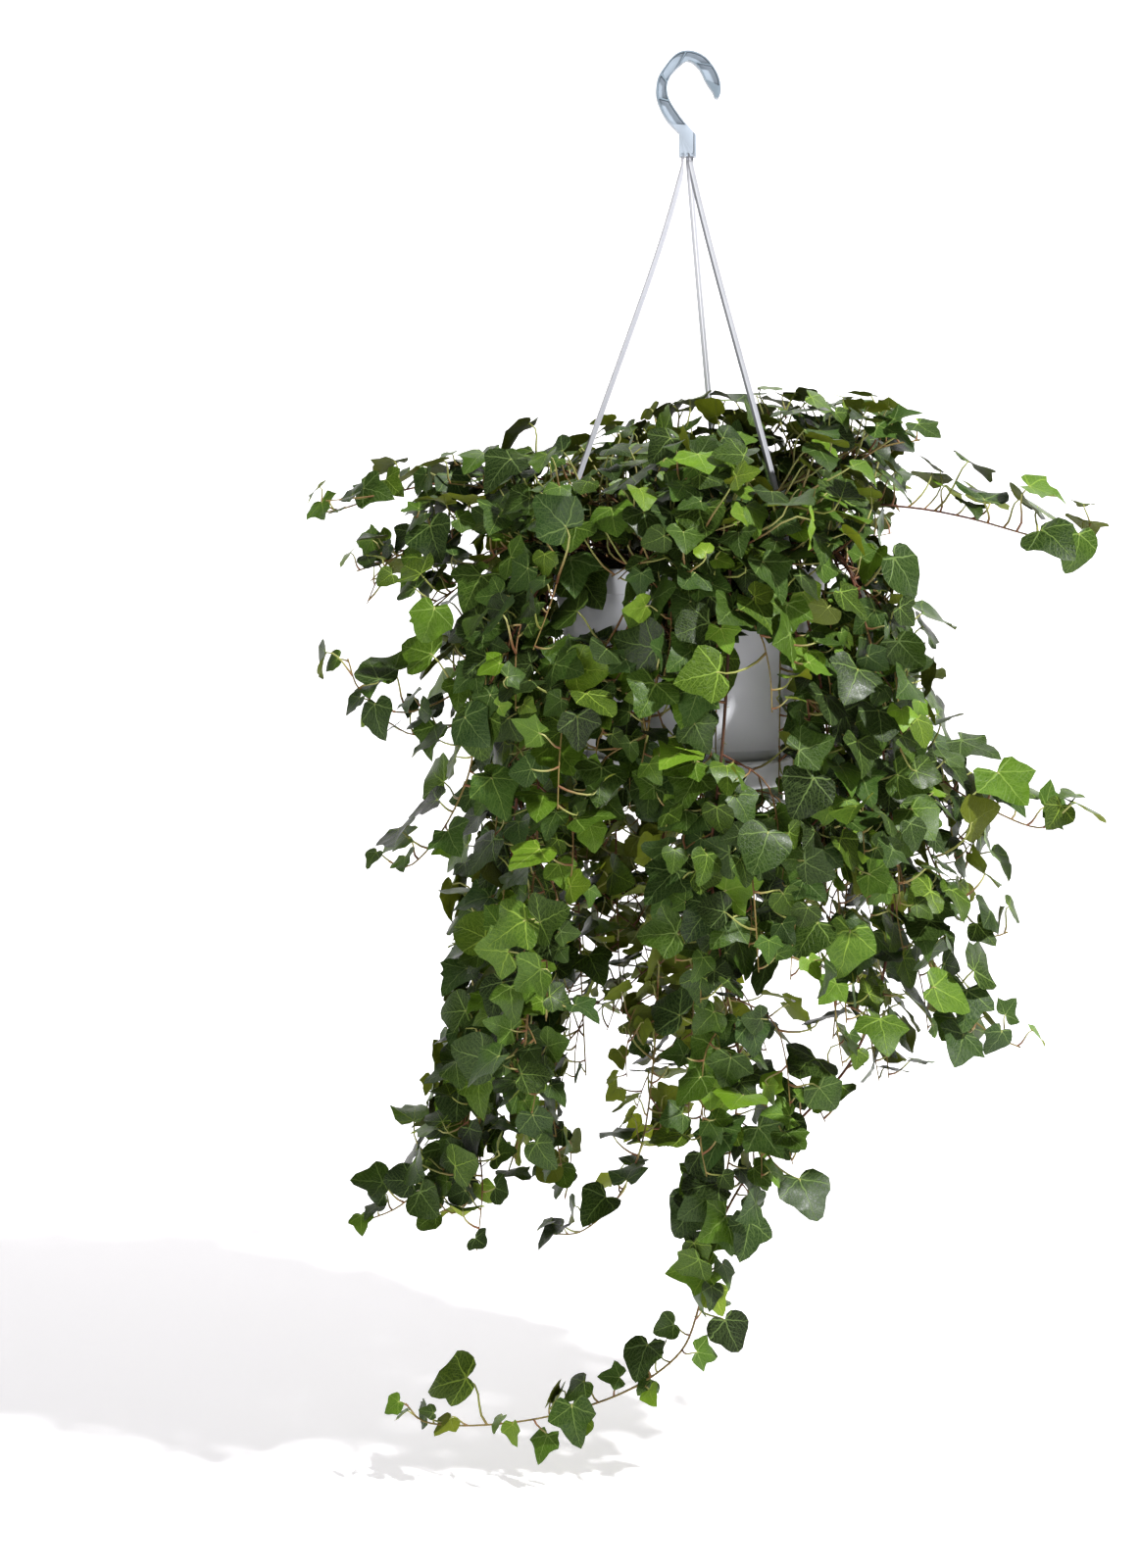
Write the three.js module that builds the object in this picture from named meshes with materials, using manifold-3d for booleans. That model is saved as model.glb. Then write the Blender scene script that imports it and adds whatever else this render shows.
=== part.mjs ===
// A potted ivy in a hanging pot: a moulded hook, three flat straps, a rimmed pot with its clip-on
// saucer, soil, and fifty leafy stems. Millimetres, +Z up. The origin is the hook's seat, the
// point that the whole thing hangs from. +X is to the right of the front view, +Y to the back.

import * as THREE from 'three';
import { mergeVertices } from 'three/addons/utils/BufferGeometryUtils.js';
import Module from 'manifold-3d';

const wasm = await Module();
wasm.setup();

// Pot, from its rim downwards
const RIM_DROP = 440;
const RIM_RADIUS = 117.5;
const RIM_BAND = 21;
const RIM_STEP = 2.6;
const RIM_DRAFT = 0.5;
const RIM_EDGE = 1.2;
const POT_WALL = 2.2;
const WALL_FOOT_RADIUS = 91;
const WALL_DEPTH = 152;
const BASE_RADIUS = 87;
const BASE_DEPTH = 179.7;
const ROUND_SIDES = 32;

// Saucer under the pot
const SAUCER_RADIUS = 95;
const SAUCER_FOOT_RADIUS = 91;
const SAUCER_TOP = 160;
const SAUCER_FLOOR = 180;
const SAUCER_BASE = 184;
const SAUCER_WALL = 2;
const SAUCER_EDGE = 2;

// Soil, mounded towards the front left
const SOIL_LEVEL = -8;
const SOIL_ROOM = 1;
const SHOULDER_RISE = 4;
const SOIL_SIDES = 18;
const MOUND_HEIGHT = 17;
const MOUND_SPREAD = 46;
const MOUND_CENTRE = [-62, -42];
const SEAT_GAP = 0.3;

// Hook: outlines run from the shank's foot, round the bow, to the tip
const HOOK_DEPTH = 10;
const SHANK_FOOT = -83;
const SHANK_SIDES = [-8, 7];
const HOOK_OUTSIDE = [[-8, -63], [-19, -51], [-26.5, -36], [-28, -24], [-25, -12], [-12, 4.5], [0, 8.5],
  [13, 4], [22, -6], [27, -17], [28, -27], [26, -32.5]];
const HOOK_INSIDE = [[21.5, -28], [15, -18], [9, -6.5], [0, 0], [-9, -5.5], [-16, -14], [-18.5, -23],
  [-16.5, -34], [-7, -49], [7, -65]];
const CHANNEL_DEPTH = 2.6;
const CHANNEL_RAIL = 1.9;
const CHANNEL_CELLS = [[0.06, 0.2], [0.22, 0.36], [0.38, 0.52], [0.54, 0.7], [0.72, 0.86]];

// Straps: flat bands in upright planes through the pot's axis, each with a rib down its inner face
const STRAP_WIDTH = 5.4;
const STRAP_THICKNESS = 1.3;
const STRAP_POCKET = 9;
const STRAP_STEPS = 9;
const RIB_DEPTH = 3.8;
const RIB_WIDTH = 1.6;
const RIB_STEPS = [1, 7];
const STRAP_SEAT_RADIUS = RIM_RADIUS + SEAT_GAP + STRAP_THICKNESS / 2;
const STRAP_BOW = [[33, 260], [99, 78]];
const TOE_HEIGHT = 3;
const STRAP_TAIL = 0.4;
const STRAPS = [
  { name: 'strap_left', azimuth: -168, start: 5 },
  { name: 'strap_right', azimuth: -48, start: 3 },
  { name: 'strap_rear', azimuth: 72, start: 3 },
];

// Stems and leaves
const STEM_RADIUS = 1.9;
const STEM_STEP = 60;
const ROOT_DEPTH = -18;
const ROOT_RISE = 20;
const ROOT_HOLE_RADIUS = 3.2;
const LEAF_STEP = 24;
const LEAVES_KEPT = 3;
const TIP_SETBACK = 3;
const BARE_ROOT = 54;
const BLADE_THICKNESS = 0.9;
const PETIOLE_WIDTH = 1.6;
const KEEL_DEPTH = 0.8;
const LEAF_LENGTH = 33;
const TIP_LEAF_SHARE = 0.55;
const GROWN_AFTER = 110;
const LOOSENESS = 0.4;
const LOOSER = 0.05;
const CLEARANCE = 0.4;
const TRIES = 16;

// Half of a blade's outline, across and along, as shares of its length
const BASAL_LOBE = [0.36, -0.2];
const SIDE_LOBE = [0.65, 0.28];
const SINUS = [0.31, 0.44];

// Where each stem's foot stands in the soil, and the points that it grows through, from the middle
// of the pot's rim
const VINES = [
  // front of the pot
  { foot: [-14, -60], path: [[-15, -88, 18], [-17, -118, 24], [-20, -142, -10], [-30, -150, -70],
    [-40, -153, -125], [-46, -156, -158]] },
  { foot: [6, -52], path: [[8, -85, 24], [8, -118, 30], [6, -146, -6], [4, -154, -70], [8, -152, -140],
    [30, -155, -200], [60, -160, -228]] },
  { foot: [30, -62], path: [[38, -88, 18], [50, -114, 20], [72, -130, -20], [86, -136, -90],
    [93, -138, -150], [100, -140, -200], [104, -135, -262]] },
  { foot: [-34, -56], path: [[-38, -88, 18], [-44, -116, 16], [-54, -138, -24], [-80, -142, -70],
    [-106, -140, -92], [-128, -134, -110]] },
  { foot: [-3, -74], path: [[-4, -98, 10], [-6, -128, 8], [-14, -141, -30], [-18, -143, -52]] },
  { foot: [20, -76], path: [[24, -100, 12], [30, -126, 10], [36, -138, -14], [36, -141, -36]] },
  { foot: [15, -42], path: [[22, -84, 30], [27, -122, 36], [25, -152, 4], [23, -163, -60], [18, -164, -140],
    [10, -152, -235], [20, -132, -320], [35, -116, -400], [30, -102, -470], [18, -92, -540],
    [4, -86, -600]] },
  // right
  { foot: [60, -4], path: [[90, -4, 32], [140, -4, 54], [190, -6, 53], [240, -10, 44], [296, -16, 28],
    [332, -20, 22], [345, -20, 40]] },
  { foot: [46, -16], path: [[72, -22, 42], [120, -26, 84], [165, -26, 104], [196, -24, 110]] },
  { foot: [74, 16], path: [[112, 24, 26], [142, 32, 8], [158, 36, -50], [162, 34, -130], [160, 30, -210],
    [158, 26, -280]] },
  { foot: [66, -20], path: [[108, -32, 26], [146, -42, 4], [164, -44, -60], [178, -42, -130],
    [212, -38, -178], [262, -36, -208], [300, -38, -220], [322, -38, -200]] },
  { foot: [54, -44], path: [[86, -72, 22], [120, -98, 10], [140, -112, -50], [150, -118, -105],
    [166, -120, -134], [180, -116, -118]] },
  { foot: [56, -32], path: [[98, -64, 22], [132, -86, -8], [150, -96, -90], [158, -96, -180],
    [175, -92, -270], [205, -86, -345], [245, -80, -385], [272, -78, -398]] },
  { foot: [72, -32], path: [[112, -54, 14], [150, -70, -30], [170, -76, -120], [188, -74, -210],
    [214, -70, -270], [246, -66, -306], [264, -66, -304]] },
  { foot: [42, -62], path: [[56, -90, 16], [74, -120, 8], [94, -126, -60], [108, -122, -150],
    [114, -117, -240], [120, -110, -320], [124, -104, -372]] },
  { foot: [66, 30], path: [[100, 48, 26], [136, 66, 6], [150, 72, -80], [152, 70, -180], [146, 64, -280],
    [138, 58, -360], [132, 54, -420]] },
  { foot: [80, 2], path: [[118, 6, 20], [148, 8, -8], [168, 8, -80], [186, 4, -150], [218, 0, -205],
    [241, -2, -245], [233, -4, -275]] },
  { foot: [78, -14], path: [[116, -22, 12], [148, -26, -20], [166, -32, -120], [172, -44, -230],
    [164, -52, -330], [136, -58, -410], [86, -64, -466], [44, -68, -510], [16, -70, -565], [4, -70, -620],
    [-12, -70, -656], [-54, -70, -686], [-112, -70, -706], [-172, -70, -715], [-222, -70, -713],
    [-240, -70, -697]] },
  // left
  { foot: [-58, 8], path: [[-92, 10, 34], [-150, 8, 60], [-205, 4, 74], [-255, -2, 66], [-298, -8, 52],
    [-318, -10, 48]] },
  { foot: [-52, -8], path: [[-92, -12, 32], [-150, -22, 46], [-205, -28, 32], [-250, -34, 10],
    [-284, -36, -2]] },
  { foot: [-52, -32], path: [[-92, -56, 22], [-130, -74, 6], [-160, -84, -40], [-182, -88, -88],
    [-215, -88, -112], [-248, -90, -118], [-276, -92, -100], [-286, -92, -74]] },
  { foot: [-66, -20], path: [[-106, -37, 20], [-140, -46, -30], [-165, -52, -90], [-195, -54, -128],
    [-232, -54, -140], [-258, -54, -128]] },
  { foot: [-46, -44], path: [[-80, -76, 20], [-112, -104, 6], [-142, -116, -40], [-166, -118, -90],
    [-178, -118, -130], [-186, -118, -170], [-206, -118, -212], [-232, -118, -241], [-250, -118, -238]] },
  { foot: [-70, -34], path: [[-106, -50, 24], [-150, -60, 20], [-190, -66, -10], [-222, -70, -38]] },
  { foot: [-74, -4], path: [[-111, -6, 23], [-136, -12, -28], [-144, -18, -118], [-150, -22, -220],
    [-162, -28, -320], [-176, -32, -400], [-178, -34, -470], [-186, -36, -530], [-202, -38, -548],
    [-218, -40, -534]] },
  { foot: [-72, 14], path: [[-110, 22, 18], [-140, 28, -20], [-150, 32, -110], [-146, 34, -210],
    [-150, 32, -310], [-160, 28, -400], [-168, 24, -470]] },
  { foot: [-62, -48], path: [[-92, -70, 14], [-118, -88, -8], [-126, -100, -75], [-128, -114, -150],
    [-130, -122, -230], [-140, -116, -310], [-146, -110, -380], [-142, -104, -440]] },
  { foot: [-62, 32], path: [[-98, 48, 20], [-126, 62, -10], [-138, 66, -100], [-138, 62, -200],
    [-130, 56, -300], [-124, 50, -400], [-118, 44, -480], [-110, 40, -530]] },
  { foot: [-48, 22], path: [[-88, 34, 32], [-132, 40, 18], [-152, 38, -60], [-160, 30, -160],
    [-168, 18, -260], [-178, 6, -360], [-188, -6, -450], [-212, -14, -510], [-246, -20, -545],
    [-280, -22, -560]] },
  // back
  { foot: [-8, 60], path: [[-10, 92, 24], [-12, 122, 16], [-14, 140, -50], [-12, 142, -150],
    [-16, 136, -250], [-20, 124, -350], [-26, 100, -445], [-38, 76, -520], [-62, 60, -566],
    [-92, 50, -590], [-118, 48, -592]] },
  { foot: [-26, 54], path: [[-38, 88, 22], [-50, 116, 12], [-56, 132, -60], [-58, 134, -160],
    [-60, 128, -260], [-58, 120, -350], [-54, 112, -410]] },
  { foot: [32, 50], path: [[44, 82, 24], [56, 110, 14], [62, 128, -50], [60, 130, -150], [52, 124, -250],
    [46, 118, -340], [40, 110, -420], [34, 104, -470]] },
  { foot: [54, 42], path: [[80, 66, 24], [106, 88, 8], [116, 100, -70], [114, 100, -170], [104, 96, -270],
    [96, 90, -350]] },
  { foot: [-46, 44], path: [[-72, 72, 22], [-96, 96, 6], [-106, 108, -80], [-104, 108, -180],
    [-96, 100, -280], [-92, 94, -380], [-88, 86, -460]] },
  { foot: [6, 62], path: [[9, 94, 28], [16, 124, 14], [20, 142, -60], [22, 146, -160], [16, 140, -260],
    [14, 132, -350], [10, 126, -440], [6, 120, -520]] },
  { foot: [14, 42], path: [[18, 84, 48], [12, 140, 66], [8, 195, 68], [6, 240, 52], [6, 268, 34]] },
  { foot: [-26, 38], path: [[-46, 92, 44], [-70, 144, 58], [-92, 190, 54], [-108, 226, 38],
    [-118, 250, 20]] },
  { foot: [40, 52], path: [[72, 86, 38], [110, 124, 52], [144, 156, 44], [170, 180, 24],
    [184, 192, 0]] },
  // crown
  { foot: [-20, 20], path: [[-30, 26, 50], [-48, 34, 90], [-60, 40, 112]] },
  { foot: [-4, 28], path: [[-6, 34, 60], [-8, 40, 110], [-6, 44, 134]] },
  { foot: [14, 24], path: [[20, 30, 50], [26, 36, 96], [32, 40, 118]] },
  { foot: [30, 14], path: [[44, 20, 50], [62, 28, 104], [74, 34, 138]] },
  { foot: [42, 0], path: [[66, 0, 54], [104, 4, 100], [138, 6, 130]] },
  { foot: [34, -26], path: [[58, -40, 44], [96, -52, 80], [130, -58, 98]] },
  { foot: [56, 14], path: [[86, 20, 46], [128, 26, 80], [176, 30, 96]] },
  { foot: [-34, 2], path: [[-58, 2, 54], [-104, 6, 84], [-154, 8, 94], [-204, 6, 90]] },
  { foot: [-42, 14], path: [[-74, 22, 52], [-124, 34, 78], [-178, 40, 82], [-236, 42, 72]] },
  { foot: [-28, -24], path: [[-44, -46, 36], [-64, -76, 56], [-86, -106, 54]] },
  { foot: [0, -32], path: [[2, -58, 46], [4, -94, 64], [6, -128, 58]] },
  { foot: [20, -40], path: [[36, -70, 44], [52, -104, 56], [70, -134, 46]] },
];

const hookPlastic = { color: 0xb4c2cc, roughness: 0.45, metalness: 0 };
const strapPlastic = { color: 0xe4e6ec, roughness: 0.4, metalness: 0 };
const potPlastic = { color: 0xa9abb4, roughness: 0.42, metalness: 0 };
const soilBrown = { color: 0x3b2a1e, roughness: 0.95, metalness: 0 };
const leafGreen = { color: 0x3a5a2c, roughness: 0.5, metalness: 0 };

// A closed geometry as a solid, with its shared vertices merged and its faces pointing out.
function solid(geometry) {
  const bare = new THREE.BufferGeometry();
  bare.setAttribute('position', geometry.getAttribute('position'));
  bare.setIndex(geometry.getIndex());
  const merged = mergeVertices(bare, 1e-4);
  const index = merged.getIndex().array;
  const triangles = [];
  for (let i = 0; i < index.length; i += 3) {
    const [a, b, c] = index.slice(i, i + 3);
    if (a !== b && b !== c && c !== a) triangles.push(a, b, c);
  }
  const vertProperties = new Float32Array(merged.getAttribute('position').array);
  const build = (triVerts) => new wasm.Manifold(new wasm.Mesh({ numProp: 3, vertProperties, triVerts }));
  const body = build(new Uint32Array(triangles));
  return body.volume() > 0 ? body : build(new Uint32Array(triangles.reverse()));
}

// A solid as a named mesh with its own material.
function part(name, body, finish) {
  const mesh = body.getMesh();
  const geometry = new THREE.BufferGeometry();
  geometry.setAttribute('position', new THREE.BufferAttribute(mesh.vertProperties, 3));
  geometry.setIndex(new THREE.BufferAttribute(mesh.triVerts, 1));
  const made = new THREE.Mesh(geometry, new THREE.MeshStandardMaterial(finish));
  made.name = name;
  return made;
}

// A profile of [radius, height] points turned about the Z axis.
function turned(profile, sides) {
  const points = profile.map(([radius, height]) => new THREE.Vector2(radius, height));
  return new THREE.LatheGeometry(points, sides).rotateX(Math.PI / 2);
}

// A flat outline of [x, z] points thickened evenly to both sides of y = 0.
function plate(outline, thickness) {
  const shape = new THREE.Shape(outline.map(([x, z]) => new THREE.Vector2(x, z)));
  const geometry = new THREE.ExtrudeGeometry(shape, { depth: thickness, bevelEnabled: false });
  return geometry.translate(0, 0, -thickness / 2).rotateX(Math.PI / 2);
}

function pot() {
  const inner = RIM_RADIUS - RIM_STEP - POT_WALL;
  const profile = [[0, -BASE_DEPTH], [BASE_RADIUS, -BASE_DEPTH], [BASE_RADIUS, -WALL_DEPTH],
    [WALL_FOOT_RADIUS, -WALL_DEPTH], [RIM_RADIUS - RIM_STEP, -RIM_BAND],
    [RIM_RADIUS - RIM_DRAFT, -RIM_BAND], [RIM_RADIUS, -RIM_EDGE], [RIM_RADIUS - RIM_EDGE, 0],
    [inner, 0], [inner - 2 * RIM_DRAFT, -RIM_BAND], [WALL_FOOT_RADIUS - POT_WALL, POT_WALL - WALL_DEPTH],
    [BASE_RADIUS - POT_WALL, -WALL_DEPTH],
    [BASE_RADIUS - POT_WALL, POT_WALL - BASE_DEPTH], [0, POT_WALL - BASE_DEPTH]];
  return solid(turned(profile, ROUND_SIDES));
}

function saucer() {
  const lip = SAUCER_RADIUS - SAUCER_WALL;
  const profile = [[0, -SAUCER_BASE], [SAUCER_FOOT_RADIUS - SAUCER_EDGE, -SAUCER_BASE],
    [SAUCER_FOOT_RADIUS, SAUCER_EDGE - SAUCER_BASE], [SAUCER_RADIUS, -SAUCER_TOP], [lip, -SAUCER_TOP],
    [SAUCER_FOOT_RADIUS - SAUCER_WALL, -SAUCER_FLOOR], [0, -SAUCER_FLOOR]];
  return solid(turned(profile, ROUND_SIDES));
}

function soilHeight(x, y) {
  const away = Math.hypot(x - MOUND_CENTRE[0], y - MOUND_CENTRE[1]) / MOUND_SPREAD;
  return SOIL_LEVEL + MOUND_HEIGHT * Math.exp(-away * away);
}

// The soil follows the pot's inner wall and keeps a hole for each stem's foot.
function soil() {
  const top = RIM_RADIUS - RIM_STEP - POT_WALL - SOIL_ROOM - RIM_DRAFT;
  const shoulder = WALL_FOOT_RADIUS - POT_WALL - SOIL_ROOM;
  const foot = BASE_RADIUS - POT_WALL - SOIL_ROOM;
  const floor = POT_WALL - BASE_DEPTH + SEAT_GAP;
  const rings = [0.7, 0.35].map((share) => [top * share, 0]);
  const profile = [[0, floor], [foot, floor], [foot, -WALL_DEPTH], [shoulder, SHOULDER_RISE - WALL_DEPTH],
    [top, SOIL_LEVEL], ...rings, [0, 0]];
  const geometry = turned(profile, SOIL_SIDES);
  const position = geometry.getAttribute('position');
  for (let i = 0; i < position.count; i += 1) {
    if (position.getZ(i) === 0) position.setZ(i, soilHeight(position.getX(i), position.getY(i)));
  }
  const holes = VINES.map((vine) => stem(stemCurve(vine), ROOT_HOLE_RADIUS).translate([0, 0, -SEAT_GAP]));
  return solid(geometry).subtract(wasm.Manifold.union(holes));
}

function flatCurve(points) {
  return new THREE.SplineCurve(points.map(([x, z]) => new THREE.Vector2(x, z)));
}

// A smooth run of points through a hand-drawn outline.
function smoothed(points, count) {
  return flatCurve(points).getPoints(count).map((point) => [point.x, point.y]);
}

// One cell of the hook's channel, between two shares of the way round, set in from both edges.
function channelCell(outside, inside, [from, to], face) {
  const steps = 3;
  const near = [];
  const far = [];
  for (let i = 0; i <= steps; i += 1) {
    const at = from + (to - from) * (i / steps);
    const a = outside.getPoint(at);
    const b = inside.getPoint(at);
    const rail = b.clone().sub(a).setLength(CHANNEL_RAIL);
    near.push([a.x + rail.x, a.y + rail.y]);
    far.unshift([b.x - rail.x, b.y - rail.y]);
  }
  return solid(plate([...near, ...far], CHANNEL_DEPTH * 2).translate(0, face * HOOK_DEPTH / 2, 0));
}

// The hook: a question-mark plate with a ribbed channel in each face and a pocket for each strap.
function hook() {
  const outside = smoothed(HOOK_OUTSIDE, 16);
  const inside = smoothed(HOOK_INSIDE, 14);
  const outline = [[SHANK_SIDES[0], SHANK_FOOT], ...outside, ...inside, [SHANK_SIDES[1], SHANK_FOOT]];
  let body = solid(plate(outline, HOOK_DEPTH));
  const outerRun = flatCurve(HOOK_OUTSIDE);
  const innerRun = flatCurve([...HOOK_INSIDE].reverse());
  for (const cell of CHANNEL_CELLS) {
    for (const face of [-1, 1]) body = body.subtract(channelCell(outerRun, innerRun, cell, face));
  }
  for (const { azimuth, start } of STRAPS) {
    const room = STRAP_THICKNESS + 2 * SEAT_GAP;
    const depth = 2 * (STRAP_POCKET + SEAT_GAP);
    const pocket = new THREE.BoxGeometry(room, STRAP_WIDTH + 2 * SEAT_GAP, depth);
    pocket.translate(start, 0, SHANK_FOOT).rotateZ(THREE.MathUtils.degToRad(azimuth));
    body = body.subtract(solid(pocket));
  }
  return body;
}

// The rib's outline: along the middle of the band, and back along the rib's free edge.
function ribOutline(bend) {
  const [first, last] = RIB_STEPS;
  const edge = [];
  for (let i = first + 1; i < last; i += 1) {
    const [x, z] = bend[i];
    const run = [bend[i + 1][0] - bend[i - 1][0], bend[i + 1][1] - bend[i - 1][1]];
    const reach = RIB_DEPTH / Math.hypot(...run);
    edge.unshift([x + run[1] * reach, z - run[0] * reach]);
  }
  return [...bend.slice(first, last + 1), ...edge];
}

// A strap in the XZ plane: out of the shank, down to the rim, and a toe hooked under the rim's band.
function strap(start) {
  const rim = -RIM_DROP;
  const toeTop = rim - RIM_BAND - SEAT_GAP;
  const bow = STRAP_BOW.map(([radius, height]) => [radius, rim + height]);
  const bend = smoothed([[start, SHANK_FOOT - 2], [start + 2.6, SHANK_FOOT - 15], ...bow,
    [STRAP_SEAT_RADIUS - 2, rim + 16], [STRAP_SEAT_RADIUS, rim + 5]], STRAP_STEPS);
  const path = [[start, SHANK_FOOT + STRAP_POCKET], ...bend,
    [STRAP_SEAT_RADIUS, toeTop - TOE_HEIGHT - STRAP_TAIL]];
  const sides = [[], []];
  path.forEach(([x, z], i) => {
    const [ax, az] = path[Math.max(i - 1, 0)];
    const [bx, bz] = path[Math.min(i + 1, path.length - 1)];
    const half = STRAP_THICKNESS / 2 / Math.hypot(bx - ax, bz - az);
    sides[0].push([x - (bz - az) * half, z + (bx - ax) * half]);
    sides[1].unshift([x + (bz - az) * half, z - (bx - ax) * half]);
  });
  const ribbon = solid(plate([...sides[0], ...sides[1]], STRAP_WIDTH));
  const rib = solid(plate(ribOutline(bend), RIB_WIDTH));
  const toeReach = RIM_STEP + STRAP_THICKNESS / 2;
  const toe = new THREE.BoxGeometry(toeReach, STRAP_WIDTH, TOE_HEIGHT);
  toe.translate(STRAP_SEAT_RADIUS - toeReach / 2, 0, toeTop - TOE_HEIGHT / 2);
  return wasm.Manifold.union([ribbon, rib, solid(toe)]);
}

// A repeatable stream of numbers from 0 to 1.
function stream(seed) {
  let state = seed >>> 0;
  return () => {
    state = (state + 0x6d2b79f5) >>> 0;
    let word = Math.imul(state ^ (state >>> 15), state | 1);
    word ^= word + Math.imul(word ^ (word >>> 7), word | 61);
    return ((word ^ (word >>> 14)) >>> 0) / 2 ** 32;
  };
}

// A stem's centre line: straight up out of its hole, then through its points.
function stemCurve({ foot: [x, y], path }) {
  const points = [[x, y, ROOT_DEPTH], [x, y, ROOT_DEPTH + ROOT_RISE], ...path];
  return new THREE.CatmullRomCurve3(points.map((point) => new THREE.Vector3(...point)), false, 'catmullrom');
}

function stemSteps(curve) {
  return Math.max(4, Math.round(curve.getLength() / STEM_STEP));
}

// A three-sided stem, straight between its steps.
function stem(curve, radius) {
  const corner = (turn) => [Math.cos(turn) * radius, Math.sin(turn) * radius];
  const section = [0, 1, 2].map((i) => new THREE.Vector2(...corner((i * 2 * Math.PI) / 3)));
  const steps = stemSteps(curve);
  return solid(new THREE.ExtrudeGeometry(new THREE.Shape(section), { steps, extrudePath: curve }));
}

// The point in the middle of the straight stem at a share of its length.
function stemPoint(curve, share) {
  const steps = stemSteps(curve);
  const step = Math.min(Math.floor(share * steps), steps - 1);
  const from = curve.getPointAt(step / steps);
  return from.lerp(curve.getPointAt((step + 1) / steps), share * steps - step);
}

const UP = new THREE.Vector3(0, 0, 1);
const LIGHT = new THREE.Vector3(0.1, -0.55, 0.75);

function blend(...terms) {
  const sum = new THREE.Vector3();
  for (const [vector, share] of terms) sum.addScaledVector(vector, share);
  return sum;
}

// Where leaf `index`, counted from the stem's tip, stands and which way it faces. Leaves alternate
// from side to side. Above the rim they rise on upright stalks and lie nearly flat, and where a
// shoot runs level their stalks lean towards its tip. Where a shoot hangs, they lean out towards
// the light with their tips down.
function leafPose(curve, number, index, attempt) {
  const draw = stream(number * 10007 + index * 101 + attempt * 7);
  const spread = (size) => (draw() * 2 - 1) * size;
  const length = curve.getLength();
  const at = Math.max(0, 1 - (index * LEAF_STEP + TIP_SETBACK) / length);
  const foot = stemPoint(curve, at);
  const along = curve.getTangentAt(at);
  const outward = new THREE.Vector3(foot.x, foot.y, 0).normalize();
  const above = THREE.MathUtils.clamp((foot.z + 25) / 60, 0, 1);
  const level = 1 - Math.abs(along.z);
  const lift = Math.max(above, 0.85 * level);
  const faces = blend([outward, 0.75 - 0.35 * lift], [LIGHT, 0.55 - 0.35 * above],
    [UP, 0.1 + 0.35 * lift + 0.5 * above]).normalize();
  const side = along.clone().cross(faces).normalize().multiplyScalar(index % 2 ? 1 : -1);
  const wander = () => new THREE.Vector3(spread(1), spread(1), spread(1));
  const loose = LOOSENESS + LOOSER * attempt;
  const stalk = blend([side, 0.85 - 0.4 * lift], [faces, 0.5 - 0.25 * lift], [UP, 0.2 + 0.7 * lift],
    [along, 0.4 * level], [wander(), loose]).normalize();
  const normal = blend([faces, 1], [wander(), loose]).normalize();
  const tip = blend([side, 0.6], [outward, 0.2 + 0.5 * lift], [UP, -0.8 * (1 - lift) - 0.1],
    [wander(), loose]);
  tip.addScaledVector(normal, -tip.dot(normal)).normalize();
  const age = Math.min(1, TIP_LEAF_SHARE + (index * LEAF_STEP) / GROWN_AFTER);
  const size = LEAF_LENGTH * age * (0.8 + 0.42 * draw());
  const reach = size * (0.45 + 0.65 * draw() + 0.35 * above);
  const joint = blend([foot, 1], [stalk, reach]);
  const across = tip.clone().cross(normal);
  const cup = 0.1 + spread(0.08);
  const droop = 0.2 + spread(0.14);
  return { foot, joint, stalk, normal, tip, across, size, cup, droop };
}

// A leaf's stalk and blade in one thin folded sheet: eleven outline points, each with an upper and
// a lower copy, split into triangles alike on both faces. Along the stalk the two lower copies meet
// in one keel, so it is three-sided, and it is mitred where it bends into the blade. `more` thickens
// and widens the leaf.
function leaf({ foot, joint, stalk, normal, tip, across, size, cup, droop }, more, withStalk) {
  const half = BLADE_THICKNESS / 2 + more;
  const keel = -KEEL_DEPTH - more;
  const grow = (size + 2 * more) / size;
  const bladePoint = ([u, v]) => {
    const rise = (cup * Math.abs(u) - droop * v * Math.abs(v)) * size;
    return blend([joint, 1], [across, u * size * grow], [tip, v * size * grow], [normal, rise]);
  };
  const mirrored = ([u, v]) => [-u, v];
  const right = [BASAL_LOBE, SIDE_LOBE, SINUS];
  const ring = [...right, [0, 1], ...right.map(mirrored).reverse()].map(bladePoint);
  const flat = blend([across, 1], [stalk, -across.dot(stalk)]).normalize();
  const up = flat.clone().cross(stalk);
  const bend = blend([normal, 1], [up, 1]).normalize();
  const neck = (turn) => blend([joint, 1], [across, turn * (PETIOLE_WIDTH / 2 + more)]);
  const upper = ring.map((point) => blend([point, 1], [normal, half]));
  const lower = ring.map((point) => blend([point, 1], [normal, -half]));
  upper.unshift(blend([neck(1), 1], [bend, half]));
  upper.push(blend([neck(-1), 1], [bend, half]));
  lower.unshift(blend([joint, 1], [bend, keel]));
  lower.push(lower[0]);
  const faces = [[0, 1, 2], [0, 2, 3], [0, 3, 4], [8, 0, 4], [8, 4, 5], [8, 5, 6], [8, 6, 7]];
  if (withStalk) {
    for (const turn of [-1, 1]) {
      upper.push(blend([foot, 1], [flat, turn * (PETIOLE_WIDTH / 2 + more)], [up, half]));
      lower.push(blend([foot, 1], [up, keel]));
    }
    faces.push([0, 8, 9], [0, 9, 10]);
  }
  const count = upper.length;
  const triangles = [];
  for (const [a, b, c] of faces) triangles.push(a, b, c, count + a, count + c, count + b);
  for (let i = 0; i < count; i += 1) {
    const j = (i + 1) % count;
    triangles.push(i, count + j, j, i, count + i, count + j);
  }
  const geometry = new THREE.BufferGeometry().setFromPoints([...upper, ...lower]);
  geometry.setIndex(triangles);
  return solid(geometry);
}

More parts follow.
